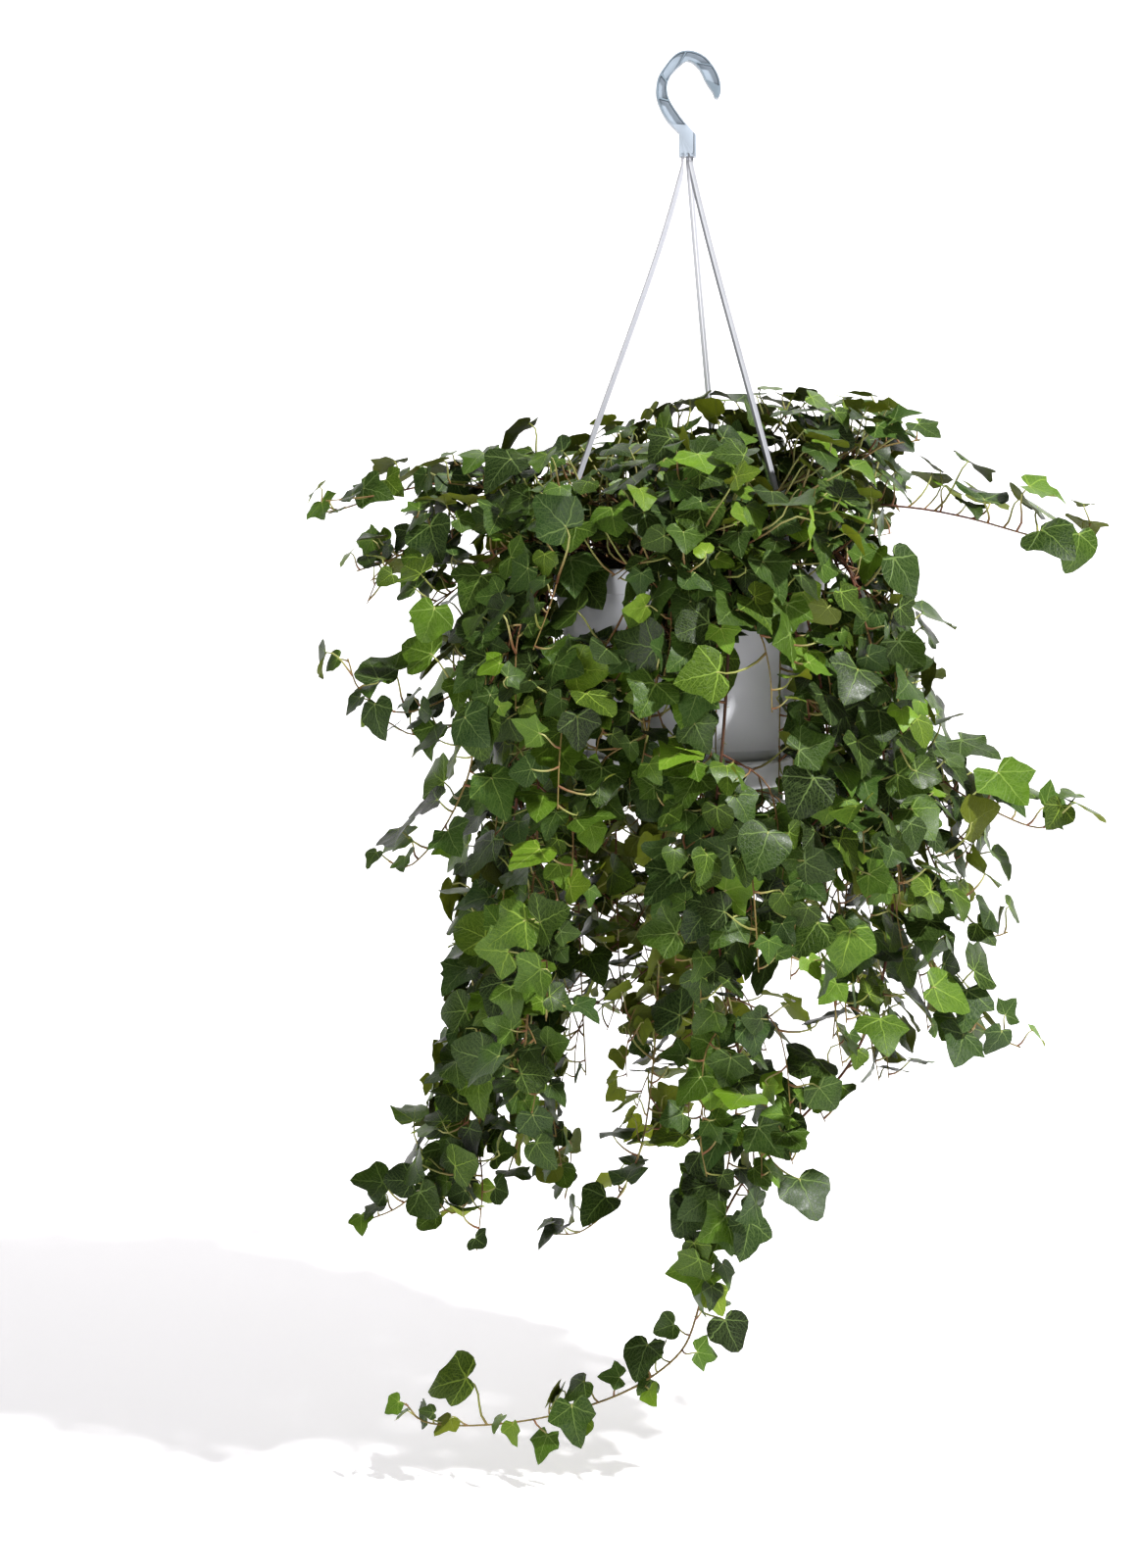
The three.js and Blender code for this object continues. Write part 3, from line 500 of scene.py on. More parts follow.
class Canopy:
    """The leaves that have found a place, kept so that later ones stay clear of them."""

    CORNERS = np.array([(0, 0), (0, 1), (0.66, 0.28), (-0.66, 0.28), (0.3, -0.2), (-0.3, -0.2), (0, 0.5)])
    LINES = np.array([(0, 1), (2, 3), (2, 1), (3, 1), (4, 6), (5, 6)])
    ROOM = 8000
    NEIGHBOURS = 80

    def __init__(self, straps):
        self.straps = straps
        self.count = 0
        self.frames = {key: np.zeros((self.ROOM, 3)) for key in ("joint", "across", "tip", "normal")}
        self.frames["size"] = np.zeros(self.ROOM)
        self.lines = np.zeros((self.ROOM, len(self.LINES), 2, 3))

    def corners(self, pose):
        u, v = self.CORNERS[:, :1], self.CORNERS[:, 1:]
        rise = pose["cup"] * abs(u) - pose["droop"] * v * abs(v)
        return pose["joint"] + (pose["across"] * u + pose["tip"] * v + pose["normal"] * rise) * pose["size"]

    def clear(self, pose, on_shoot):
        corners = self.corners(pose)
        x, y, z = corners.T
        low = (z < POT_SPARE) & (z > -SAUCER_BASE - POT_SPARE)
        inside = np.max(np.where(low, shell_radius(z) + LEAF_SPARE - np.hypot(x, y), 0))
        if inside > MOST_PUSHED:
            return False
        if inside > 0:
            pushed = unit(pose["joint"] * [1, 1, 0]) * (inside + 0.5)
            pose["joint"] = pose["joint"] + pushed
            corners = corners + pushed
        if np.any((corners[:, :2] < FIRST_LIMIT) | (corners[:, :2] > LAST_LIMIT)):
            return False
        for (left, right), (bottom, top), front in BARE_SPOTS:
            if np.any((y < front) & (x > left) & (x < right) & (z > bottom) & (z < top)):
                return False
        if np.any(z > np.interp(x, *zip(*CROWN_TOP))):
            return False
        heights, lefts, rights = zip(*REACH)
        if np.any((z > LOW_RIGHT[0]) & (z < LOW_RIGHT[1]) & (x > np.interp(z, heights, rights) + LOW_RIGHT_SPARE)):
            return False
        if on_shoot and np.any((x < np.interp(z, heights, lefts)) | (x > np.interp(z, heights, rights))):
            return False
        beside = (self.straps - pose["joint"]) / pose["size"]
        u, v, h = beside @ pose["across"], beside @ pose["tip"], beside @ pose["normal"]
        if np.any((abs(u) < 0.66) & (v > -0.25) & (v < 1) & (abs(h) < 0.1)):
            return False
        away = self.frames["joint"][: self.count] - pose["joint"]
        near = np.flatnonzero(np.einsum("nk,nk->n", away, away) < self.NEIGHBOURS**2)
        if not len(near):
            return True
        placed = {key: values[near] for key, values in self.frames.items()}
        mine = {key: np.array([pose[key]]) for key in placed}
        return not (self.crossed(corners[self.LINES][None], placed) or self.crossed(self.lines[near], mine))

    @staticmethod
    def crossed(lines, frames):
        """Whether any of the lines passes through the blade of its frame."""
        away = (lines - frames["joint"][:, None, None]) / frames["size"][:, None, None, None]
        frames = {key: frames[key] + np.zeros((len(away), 3)) for key in ("normal", "across", "tip")}
        h, u, v = (np.einsum("nlek,nk->nle", away, axis) for axis in frames.values())
        h = h + 0.18 * v * abs(v) - 0.1 * abs(u)
        gap = h[..., 1] - h[..., 0]
        share = np.clip(-h[..., 0] / np.where(abs(gap) < 1e-6, 1, gap), 0, 1)
        u = u[..., 0] + (u[..., 1] - u[..., 0]) * share
        v = v[..., 0] + (v[..., 1] - v[..., 0]) * share
        through = (h[..., 0] * h[..., 1] < 0) | (abs(h).min(axis=-1) < 0.03)
        half_width = np.interp(v, [-0.2, 0, 0.3, 0.45, 1], [0.4, 0.58, 0.62, 0.34, 0])
        inside = (v > -0.18) & (v < 0.97) & (abs(u) < half_width)
        return np.any(through & inside)

    def add(self, pose):
        self.lines[self.count] = self.corners(pose)[self.LINES]
        for key, values in self.frames.items():
            values[self.count] = pose[key]
        self.count += 1


def side_shoots(number, path, crowd):
    """The short shoots that branch off a stem. They set out sideways, then hang, or rise where the stem is high."""
    draw = stream(number * 6151 + 11)
    shoots = []
    count = path.length / SHOOT_STEP * crowd
    for place in range(round(count)):
        share = SHOOT_SPAN[0] + SHOOT_SPAN[1] * ((place + 0.3 + 0.7 * draw()) / max(1, count))
        start, run = path.at(share), path.along(share)
        if start[2] < LOWEST_SHOOT or place % 2 and not start[0] < -ARM_BEYOND:
            continue
        reach = SHOOT_LENGTH[0] + (SHOOT_LENGTH[1] - SHOOT_LENGTH[0]) * draw()
        sign, turn = (1 if draw() < 0.5 else -1), draw()
        outward = unit(start * [1, 1, 0])
        above = risen(start)
        far = min(max((np.linalg.norm(start[:2]) - FAR_FROM) / CROWN_RISE, 0), 1)
        sideways = unit(np.cross(run, outward * 0.4 + UP * 0.6)) * sign
        if start[0] > 190 and abs(run[2]) < 0.6:
            reach *= 0.4
        reach *= 1 - 0.45 * above
        sets_out = unit(run * 0.5 + sideways * (0.5 + 0.5 * turn) + outward * 0.35 * (draw() - 0.2))
        rise = above * (0.6 * (1 - far) + (1.3 * draw() - 0.8) * far) - (1 - above)
        ends = unit(UP * rise + outward * (0.15 + 0.3 * above) + sideways * 0.5 * (draw() - 0.3))
        middle = start + sets_out * reach * 0.42
        shoots.append(Path([start, middle, middle + (sets_out * 0.4 + ends) / 1.4 * reach * 0.36,
                            middle + (sets_out * 0.15 + ends) * reach * 0.6]))
    return shoots


def hangers(paths):
    """The thin shoots close in front of the pot, by the number of the stem that each branches off."""
    found = []
    for x, top, bottom in HANGERS:
        drop = top - bottom
        spots = [np.array([x, -math.sqrt((shell_radius(z) + HANGER_GAP) ** 2 - x * x), z])
                 for z in (top, top - 0.12 * drop, top - 0.55 * drop, bottom)]
        _, number, share = min((np.linalg.norm(path.at(share) - spots[0]), number, share)
                               for number, path in paths.items() for share in np.linspace(0.1, 0.8, 15))
        found.append((number, Path([paths[number].at(share), *spots[1:]])))
    return found


def found_leaves(number, path, indexes, fits, canopy, firm=False):
    """A pose for each place along a stem: its first one that fits there, if any does."""
    poses = []
    for index in indexes:
        for attempt in range(TRIES):
            pose = leaf_pose(path, number, index, attempt, firm)
            if natural(pose) and fits(pose):
                poses.append(pose)
                canopy.add(pose)
                break
    return poses


def firm_leaves(number, path, canopy):
    """The leaves that the stem's plain solid has, which stay where they are."""
    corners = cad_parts[f"vine_{number + 1:02d}"].data.vertices
    tips = KDTree(len(corners))
    for corner in corners:
        tips.insert(corner.co, corner.index)
    tips.balance()

    def fits(pose):
        return tips.find((tip_corner(pose) - [0, 0, RIM_DROP]) * MM)[2] < TIP_MATCH * MM

    indexes = range(0, math.ceil((path.length - BARE_ROOT) / LEAF_STEP), LEAVES_KEPT)
    return found_leaves(number, path, indexes, fits, canopy, firm=True)


def more_leaves(number, path, bare, step, canopy, on_shoot=False):
    """Leaves between those of the plain solid, or all along a side shoot, wherever one finds a clear place."""
    indexes = [place * step for place in range(max(0, math.ceil((path.length - bare) / LEAF_STEP / step)))]
    if not on_shoot:
        indexes = [index for index in indexes if abs(index / LEAVES_KEPT - round(index / LEAVES_KEPT)) >= 0.05]
    return found_leaves(number, path, indexes, lambda pose: canopy.clear(pose, on_shoot), canopy)


def leaved(number, shoot, step, canopy, barest=1e6):
    """The leaves of a shoot, which ends just past the last of them. Leaves too far apart are taken back."""
    found = more_leaves(number, shoot, BARE_SHOOT_FOOT, step, canopy, on_shoot=True)
    reach = max((pose["share"] for pose in found), default=0)
    if reach * shoot.length > barest * len(found):
        canopy.count -= len(found)
        reach, found = 0, []
    shoot.end = min(1, reach + 3 / shoot.length)
    return found


def grow(canopy):
    """Each stem's path, its shoots and its leaves' poses: first all firm leaves, then the others stem by stem."""
    stems = []
    for side, vines in VINES.items():
        for (x, y), *points in vines:
            path = Path([(x, y, ROOT_DEPTH), (x, y, ROOT_DEPTH + ROOT_RISE), *points])
            number = len(stems)
            firm = firm_leaves(number, path, canopy)
            stems.append((side, path, side_shoots(number, path, CROWDED[side][1]), firm))
    for number, (side, path, shoots, poses) in enumerate(stems):
        poses += more_leaves(number, path, BARE_FOOT, CROWDED[side][0], canopy)
        for place, shoot in enumerate(shoots):
            seed = SHOOT_SEEDS + MOST_SHOOTS * number + place
            poses += leaved(seed, shoot, SHOOT_LEAF_STEP, canopy, BAREST_SHOOT)
        shoots[:] = [shoot for shoot in shoots if shoot.end > SHORTEST_SHOOT]
    front = {number: stem[1] for number, stem in enumerate(stems) if stem[0] == "front"}
    for place, (number, shoot) in enumerate(hangers(front)):
        stems[number][3].extend(leaved(HANGER_SEEDS + place, shoot, HANGER_LEAF_STEP, canopy))
        stems[number][2].append(shoot)
    return [stem[1:] for stem in stems]


class Flow:
    """What flows out of a node. Arithmetic on it adds the nodes that work it out."""

    def __init__(self, tree, socket):
        self.tree, self.socket = tree, socket
        self.is_vector = socket.type in ("VECTOR", "RGBA")

    def __add__(self, other):
        return worked_out("ADD", self, other)

    def __sub__(self, other):
        return worked_out("SUBTRACT", self, other)

    def __rsub__(self, other):
        return worked_out("SUBTRACT", other, self)

    def __mul__(self, other):
        return worked_out("MULTIPLY", self, other)

    def __truediv__(self, other):
        return worked_out("DIVIDE", self, other)

    def __gt__(self, other):
        return worked_out("GREATER_THAN", self, other)

    def __lt__(self, other):
        return worked_out("LESS_THAN", self, other)

    def __abs__(self):
        return calc("ABSOLUTE", self)


def tree_of(*feeds):
    return next(feed.tree for feed in feeds if isinstance(feed, Flow))


def feed(socket, value):
    """Links a flow into an input, or sets the input to a constant."""
    if isinstance(value, Flow):
        value.tree.links.new(value.socket, socket)
    else:
        socket.default_value = value


def node(tree, kind, feeds=(), out=0, **settings):
    """What one output of a new node carries. The node has its own settings, and feeds go into its inputs."""
    made = tree.nodes.new(kind)
    for key, value in settings.items():
        setattr(made, key, value)
    for name, value in dict(feeds).items():
        feed(made.inputs[name], value)
    return Flow(tree, made.outputs[out])


def calc(operation, *feeds):
    return node(tree_of(*feeds), "ShaderNodeMath", enumerate(feeds), operation=operation)


def worked_out(operation, first, second):
    """Arithmetic with two numbers, with two vectors, or with a vector and the number that scales it."""
    vectors = sum(isinstance(value, tuple) or isinstance(value, Flow) and value.is_vector for value in (first, second))
    if not vectors:
        return calc(operation, first, second)
    feeds = {0: first, 1: second}
    if vectors == 1:
        operation, feeds = "SCALE", {"Vector": first, "Scale": second}
    return node(tree_of(first, second), "ShaderNodeVectorMath", feeds, operation=operation)


def parts(vector):
    """The three numbers of a vector."""
    x = node(vector.tree, "ShaderNodeSeparateXYZ", {0: vector})
    return [Flow(x.tree, socket) for socket in x.socket.node.outputs]


def kept(tree, name, kind="FLOAT"):
    """An attribute of the geometry, by name."""
    return node(tree, "GeometryNodeInputNamedAttribute", {"Name": name}, "Attribute", data_type=kind)


def new_tree(name, sizes):
    """A Geometry Nodes tree, with a geometry input and one for each size: its usual value, or the kind of thing."""
    tree = bpy.data.node_groups.new(name, "GeometryNodeTree")
    for title, size in {"Geometry": "Geometry", **sizes}.items():
        kind = size if isinstance(size, str) else type(size).__name__.capitalize()
        socket = tree.interface.new_socket(title, in_out="INPUT", socket_type=f"NodeSocket{kind}")
        if kind != size:
            socket.default_value = size
    tree.interface.new_socket("Geometry", in_out="OUTPUT", socket_type="NodeSocketGeometry")
    given = tree.nodes.new("NodeGroupInput").outputs
    return tree, {title: Flow(tree, given[title]) for title in ("Geometry", *sizes)}


def tree_end(tree, geometries, last):
    """Joins the geometries, passes them through a last kind of node and out of the tree."""
    joined = tree.nodes.new("GeometryNodeJoinGeometry")
    for geometry in geometries:
        feed(joined.inputs[0], geometry)
    feed(tree.nodes.new("NodeGroupOutput").inputs[0], node(tree, last, {0: Flow(tree, joined.outputs[0])}))
    return tree


def shaped(piece):
    """The piece with its modifiers made part of its mesh."""
    bpy.context.view_layer.update()
    rough = piece.data
    mesh = bpy.data.meshes.new_from_object(piece.evaluated_get(bpy.context.evaluated_depsgraph_get()))
    piece.modifiers.clear()
    piece.data = mesh
    bpy.data.meshes.remove(rough)
    mesh.name = piece.name
    return piece


def grown(piece, tree, **feeds):
    """The piece as a Geometry Nodes tree makes it."""
    modifier = piece.modifiers.new("growth", "NODES")
    modifier.node_group = tree
    for socket in tree.interface.items_tree:
        if socket.in_out == "INPUT" and socket.name in feeds:
            modifier[socket.identifier] = feeds[socket.name]
    return shaped(piece)


def mesh_piece(name, points, edges=(), faces=(), finish=None):
    """An object at the origin whose mesh has these points, given in millimetres from the hook's seat."""
    mesh = bpy.data.meshes.new(name)
    mesh.from_pydata([tuple(float(value) * MM for value in point) for point in points], list(edges), list(faces))
    mesh.update()
    if finish:
        mesh.materials.append(finish)
    if faces:
        mesh.shade_smooth()
    piece = bpy.data.objects.new(name, mesh)
    bpy.context.scene.collection.objects.link(piece)
    return piece


def give(mesh, name, values):
    """Stores one number or vector for each point of a mesh."""
    values = np.array(values, np.float32)
    kind, key = ("FLOAT", "value") if values.ndim == 1 else ("FLOAT_VECTOR", "vector")
    mesh.attributes.new(name, kind, "POINT").data.foreach_set(key, values.ravel())


def leaf_form():
    """One blade to be repeated: a closed sheet with a sharp rim, which carries the outline's three shapes."""
    rim = 2 * len(LOBED) - 2
    names = ["joint", "middle", "upper", "side", "other_side"]
    inside = [*INSIDE.values(), (-INSIDE["side"][0], INSIDE["side"][1])]
    shapes = {}
    for name, half in (("heart", HEART), ("lobed", LOBED), ("five_lobed", FIVE_LOBED)):
        outline = [*half, *[(-u, v) for u, v in half[-2:0:-1]]]
        shapes[name] = [(u, v, 0) for u, v in [*outline, *inside, *inside]]
    sheet = [0] * rim + [1] * len(inside) + [-1] * len(inside)

    def corner(key, lower, mirrored):
        if isinstance(key, int):
            return (rim - key) % rim if mirrored else key
        key = "other_side" if mirrored and key == "side" else key
        return rim + names.index(key) + (len(inside) if lower else 0)

    faces = []
    for keys in HALF_BLADE:
        for lower in (False, True):
            for mirrored in (False, True):
                face = [corner(key, lower, mirrored) for key in keys]
                faces.append(face[::-1] if lower == mirrored else face)
    points = [(u * 1000, v * 1000, s) for (u, v, _), s in zip(shapes["lobed"], sheet)]
    leaf = mesh_piece("leaf_form", points, faces=faces)
    for name, values in shapes.items():
        give(leaf.data, name, values)
    give(leaf.data, "sheet", sheet)
    give(leaf.data, "rim", [1] * rim + [0, 0.3, 0.5, 0.5, 0.5] * 2)
    for edge in leaf.data.edges:
        edge.use_edge_sharp = max(edge.vertices) < rim
    return leaf


def spray_tree():
    """Grows a leafy stem from its lines and points: blades on the points, stems and stalks along the lines."""
    tree, given = new_tree(
        "leafy_stem",
        {
            "Leaf": "Object",
            "Blade thickness": 0.6 * MM,
            "Blade wave": 0.09,
            "Stem sides": 7,
            "Stalk sides": 5,
            "Stem roughness": 0.25 * MM,
            "Upper": "Material",
            "Under": "Material",
            "Stalk": "Material",
            "Bark": "Material",
        },
    )
    lay, read = partial(node, tree), partial(kept, tree)
    aim = partial(kept, tree, kind="FLOAT_VECTOR")
    form = lay("GeometryNodeObjectInfo", {"Object": given["Leaf"]}, "Geometry")
    feeds = {"Points": given["Geometry"], "Selection": read("kind") > 2.5, "Instance": form}
    blades = lay("GeometryNodeRealizeInstances", {0: lay("GeometryNodeInstanceOnPoints", feeds)})

    shape, sheet = aim("heart"), read("sheet")
    for other, share in (("lobed", "lobes"), ("five_lobed", "base_lobes")):
        shape = shape + (aim(other) - shape) * read(share)
    u, v, _ = parts(shape)
    feeds = {"Vector": shape, "W": read("seed") * 50, "Scale": 2.6, "Detail": 1.0}
    ripple = lay("ShaderNodeTexNoise", feeds, "Color", noise_dimensions="4D")
    sways = parts((ripple - (0.5, 0.5, 0.5)) * (given["Blade wave"] * read("rim")))
    rise = read("cup") * abs(u) - v * abs(v) * read("droop") + sways[2] * 4
    u, v = u + sways[0] * 1.6, v + sways[1] * 1.6
    spread = aim("across") * u + aim("tip") * v + aim("normal") * rise
    place = aim("joint") + spread * read("size") + aim("normal") * (sheet * given["Blade thickness"] * 0.5)
    blades = lay("GeometryNodeSetPosition", {"Geometry": blades, "Position": place})
    feeds = {"Geometry": blades, "Name": "leaf_map", "Value": lay("ShaderNodeCombineXYZ", {0: u, 1: v, 2: sheet})}
    blades = lay("GeometryNodeStoreNamedAttribute", feeds, data_type="FLOAT_VECTOR", domain="POINT")
    blades = lay("GeometryNodeSetMaterial", {"Geometry": blades, "Material": given["Under"]})
    feeds = {"Geometry": blades, "Selection": sheet > 0.0, "Material": given["Upper"]}
    grown_runs = [lay("GeometryNodeSetMaterial", feeds)]

    for low, high, name in ((-0.5, 0.5, "Stem"), (0.5, 2.5, "Stalk")):
        is_kind = (read("kind") > low) * (read("kind") < high)
        lines = lay("GeometryNodeSeparateGeometry", {0: given["Geometry"], 1: is_kind})
        lines = lay("GeometryNodeMeshToCurve", {0: lines})
        lines = lay("GeometryNodeSetCurveRadius", {"Curve": lines, "Radius": read("thick")})
        ring = lay("GeometryNodeCurvePrimitiveCircle", {"Resolution": given[f"{name} sides"], "Radius": 1.0})
        feeds = {"Curve": lines, "Profile Curve": ring, "Scale": read("thick"), "Fill Caps": True}
        run = lay("GeometryNodeSetShadeSmooth", {0: lay("GeometryNodeCurveToMesh", feeds)})
        if name == "Stem":
            grain = (lay("ShaderNodeTexNoise", {"Scale": 260.0, "Detail": 2.0}) - 0.5) * given["Stem roughness"]
            run = lay("GeometryNodeSetPosition", {"Geometry": run, "Offset": lay("GeometryNodeInputNormal") * grain})
        finish = given["Bark" if name == "Stem" else "Stalk"]
        grown_runs.append(lay("GeometryNodeSetMaterial", {"Geometry": run, "Material": finish}))
    return tree_end(tree, grown_runs, "GeometryNodeRealizeInstances")


class Lines:
    """The points and lines that a leafy stem grows from, and what each point carries."""

    NUMBERS = ("kind", "thick", "share", "size", "cup", "droop", "seed", "tone", "lobes", "base_lobes")
    AIMS = ("joint", "across", "tip", "normal")

    def __init__(self):
        self.points, self.edges = [], []
        self.carried = {key: [] for key in (*self.NUMBERS, *self.AIMS)}

    def add(self, point, values):
        self.points.append(point - [0, 0, RIM_DROP])
        for key, held in self.carried.items():
            held.append(values.get(key, 0 if key in self.NUMBERS else np.zeros(3)))

    def line(self, run, kind, thick, seed, start=0.0):
        for i, point in enumerate(run):
            share = i / (len(run) - 1)
            aged = start + (1 - start) * share
            self.add(point, {"kind": kind, "thick": thick(share) * MM, "share": aged, "seed": seed})
            if i:
                self.edges.append((len(self.points) - 2, len(self.points) - 1))

    def leaf(self, pose):
        foot, joint, size, seed = (pose[key] for key in ("foot", "joint", "size", "seed"))
        reach = np.linalg.norm(joint - foot)
        thick = 0.5 + 0.012 * size
        leaves = foot + unit(pose["run"] * 0.5 + pose["stalk"]) * reach * 0.4
        inwards = unit(pose["tip"] * 0.7 + pose["normal"] * 0.6 + UP * 0.2)
        arrives = joint - inwards * reach * (0.2 + 0.25 * pose["fresh"])
        arc = [foot * (1 - t) ** 3 + leaves * 3 * t * (1 - t) ** 2 + arrives * 3 * t * t * (1 - t) + joint * t**3
               for t in np.linspace(0, 1, 6)]
        arc.append(joint + pose["tip"] * size * 0.06 - pose["normal"] * 0.2)
        self.line(arc, STALK, lambda share: thick * (1.25 - 0.55 * share), seed)
        self.add(joint, {
            **pose,
            "kind": LEAF,
            "share": 0,
            "joint": (joint - [0, 0, RIM_DROP]) * MM,
            "size": size * MM,
            "tone": min(1.0, max(0.0, (0.82 - pose["age"]) * 1.6) + (pose["fresh"] ** 3) * 0.75),
            "lobes": min(1.0, max(0.0, 1.8 * pose["shape"] - 0.3)),
            "base_lobes": max(0.0, 1.6 * seed - 0.8),
        })


def stem_lines(number, path, shoots, poses):
    """The lines and points of one leafy stem, with its shoots, its stalks and the rootlets along it."""
    draw = stream(number * 7919 + 5)
    lines = Lines()
    steps = max(8, round(path.length / 7))
    girth = min(1.7, 1.0 + path.length / 1100)
    run = [path.at(i / steps) for i in range(steps + 1)]
    lines.line(run, STEM, lambda share: girth + (0.7 - girth) * share, draw())
    for shoot in shoots:
        steps = max(4, round(shoot.length * shoot.end / 9))
        run = [shoot.at(shoot.end * i / steps) for i in range(steps + 1)]
        lines.line(run, STEM, lambda share: 0.85 - 0.35 * share, draw(), 0.6)
    for pose in poses:
        lines.leaf(pose)
    for _ in range(int(path.length / ROOTLET_STEP)):
        share = 0.08 + 0.8 * draw()
        spot, run = path.at(share), path.along(share)
        away = unit(np.cross(run, np.array([draw() - 0.5, draw() - 0.5, draw() - 0.5])))
        reach = 2.5 + 4 * draw()
        bent = away * 0.6 + run * (draw() - 0.5)
        rootlet = [spot, spot + away * reach * 0.5, spot + (away * 0.5 + bent * 0.6) * reach]
        lines.line(rootlet, ROOTLET, lambda share: 0.34 - 0.2 * share, draw())

    piece = mesh_piece(f"leafy_stem_{number + 1:02d}", lines.points, lines.edges)
    for key, values in lines.carried.items():
        give(piece.data, key, values)
    return piece


def finish(name, roughness, looks):
    """A material. Looks gives the values and flows for its shader's inputs, from the material's tree."""
    made = bpy.data.materials.new(name)
    made.use_nodes = True
    sockets = made.node_tree.nodes["Principled BSDF"].inputs
    sockets["Roughness"].default_value = roughness
    for socket, value in looks(made.node_tree).items():
        feed(sockets[socket], value)
    return made


def tint(share, *colours):
    """A colour ramp through evenly spaced linear colours."""
    ramp = node(share.tree, "ShaderNodeValToRGB", {0: share})
    stops = ramp.socket.node.color_ramp.elements
    while len(stops) < len(colours):
        stops.new(0.5)
    for i, colour in enumerate(colours):
        stops[i].position = i / (len(colours) - 1)
        stops[i].color = (*colour, 1)
    return ramp


def mixed(share, *colours, blend="MIX"):
    first, second = (colour if isinstance(colour, Flow) else (*colour, 1) for colour in colours)
    feeds = {0: share, 6: first, 7: second}
    return node(tree_of(*feeds.values()), "ShaderNodeMix", feeds, 2, data_type="RGBA", blend_type=blend)


def told(tree, name, out="Fac"):
    """The value or vector that an attribute of the mesh holds."""
    return node(tree, "ShaderNodeAttribute", out=out, attribute_name=name)


def between(value, low, high):
    """Rises smoothly from 0 at low to 1 at high."""
    feeds = {"Value": value, "From Min": low, "From Max": high}
    return node(value.tree, "ShaderNodeMapRange", feeds, interpolation_type="SMOOTHSTEP")


def noise(tree, scale, detail):
    place = node(tree, "ShaderNodeTexCoord", out="Object")
    return node(tree, "ShaderNodeTexNoise", {"Scale": scale, "Detail": detail, "Vector": place})


def bump(height, depth, strength=1.0):
    return node(height.tree, "ShaderNodeBump", {"Height": height, "Distance": depth * MM, "Strength": strength})


def veins(tree):
    """The veins of a blade, drawn from its own map: five from the stalk, their branches, and the fine net between."""
    place, seed = told(tree, "leaf_map", "Vector"), told(tree, "seed")
    moved = place * (1, 1, 0) + node(tree, "ShaderNodeCombineXYZ", {0: seed * 31, 1: seed * 17})
    sway = node(tree, "ShaderNodeTexNoise", {"Vector": moved, "Scale": 5.0, "Detail": 1.0}, "Color")
    sway = (sway - (0.5, 0.5, 0.5)) * 0.09
    u, v, _ = parts(place + sway)
    angle, far = calc("ARCTAN2", abs(u), v), calc("SQRT", u * u + v * v)
    off = angle - ((angle > 0.5) * SIDE_VEIN + (angle > 1.55) * (BASE_VEIN - SIDE_VEIN))
    across, run = far * calc("SINE", off), far * calc("COSINE", off)
    beside = abs(across)
    half_width = calc("MAXIMUM", 0.021 - run * 0.017, 0.006)
    main = 1 - between(beside / half_width, 0.45, 1.6)
    teeth = calc("FRACT", (run - beside * 1.05) * 6.5 + (across > 0) * 0.5)
    branch = (1 - between(abs(teeth - 0.5), 0.03, 0.11)) * (1 - between(beside, 0.12, 0.42))
    cells = node(tree, "ShaderNodeTexVoronoi", {"Vector": moved + sway, "Scale": 15.0}, feature="DISTANCE_TO_EDGE")
    return main, branch, 1 - between(cells, 0.02, 0.16), moved


def leaf_finish(name, roughness, gleam, shades, cool, cool_share, vein_shades, vein_share, height):
    """One face of a blade. Shades run from old leaves to young ones."""

    def looks(tree):
        main, branch, net, moved = veins(tree)
        tone, seed = told(tree, "tone"), told(tree, "seed")
        blotch = node(tree, "ShaderNodeTexNoise", {"Vector": moved, "Scale": 3.0, "Detail": 3.0})
        ground = tint(tone + (blotch - 0.5) * 0.35, *shades)
        ground = mixed(calc("FRACT", seed * 7) * cool_share, ground, cool)
        light = seed * 1.3 + 0.3
        light = node(tree, "ShaderNodeCombineColor", {0: light, 1: light, 2: light})
        ground = mixed(1.0, ground, light, blend="MULTIPLY")
        line = calc("MAXIMUM", calc("MAXIMUM", main, branch * 0.45), net * 0.22)
        return {
            "Base Color": mixed(line * vein_share, ground, tint(tone, *vein_shades)),
            "Roughness": (blotch - 0.5) * 0.3 + roughness + line * 0.12,
            "Specular IOR Level": gleam,
            "Coat Weight": gleam * 0.3,
            "Coat Roughness": 0.28,
            "Normal": bump(line * height + blotch * 0.5, 0.5),
        }

    return finish(name, roughness, looks)


def stalk_look(tree):
    seed = told(tree, "seed")
    green = mixed(seed, (0.20, 0.22, 0.05), (0.36, 0.36, 0.13))
    reach = told(tree, "share") - seed * 0.4
    return {"Base Color": mixed(between(reach, -0.25, 0.35), (0.17, 0.075, 0.035), green), "Specular IOR Level": 0.2}


def bark_look(tree):
    grain = noise(tree, 420.0, 4.0)
    aged = told(tree, "share") + (grain - 0.5) * 0.5 + told(tree, "seed") * 0.25
    woody = tint(aged, (0.030, 0.017, 0.011), (0.055, 0.030, 0.016), (0.105, 0.036, 0.018), (0.16, 0.12, 0.035))
    return {"Base Color": woody, "Specular IOR Level": 0.2, "Normal": bump(grain, 0.5)}


def pot_look(tree):
    cloud, scuff = noise(tree, 9.0, 3.0), noise(tree, 95.0, 6.0)
    return {
        "Base Color": tint(cloud, (0.64, 0.65, 0.69), (0.80, 0.81, 0.85)),
        "Roughness": scuff * 0.2 + 0.22,
        "Specular IOR Level": 0.55,
        "Normal": bump(cloud + scuff * 0.06, 1.2, 0.5),
    }


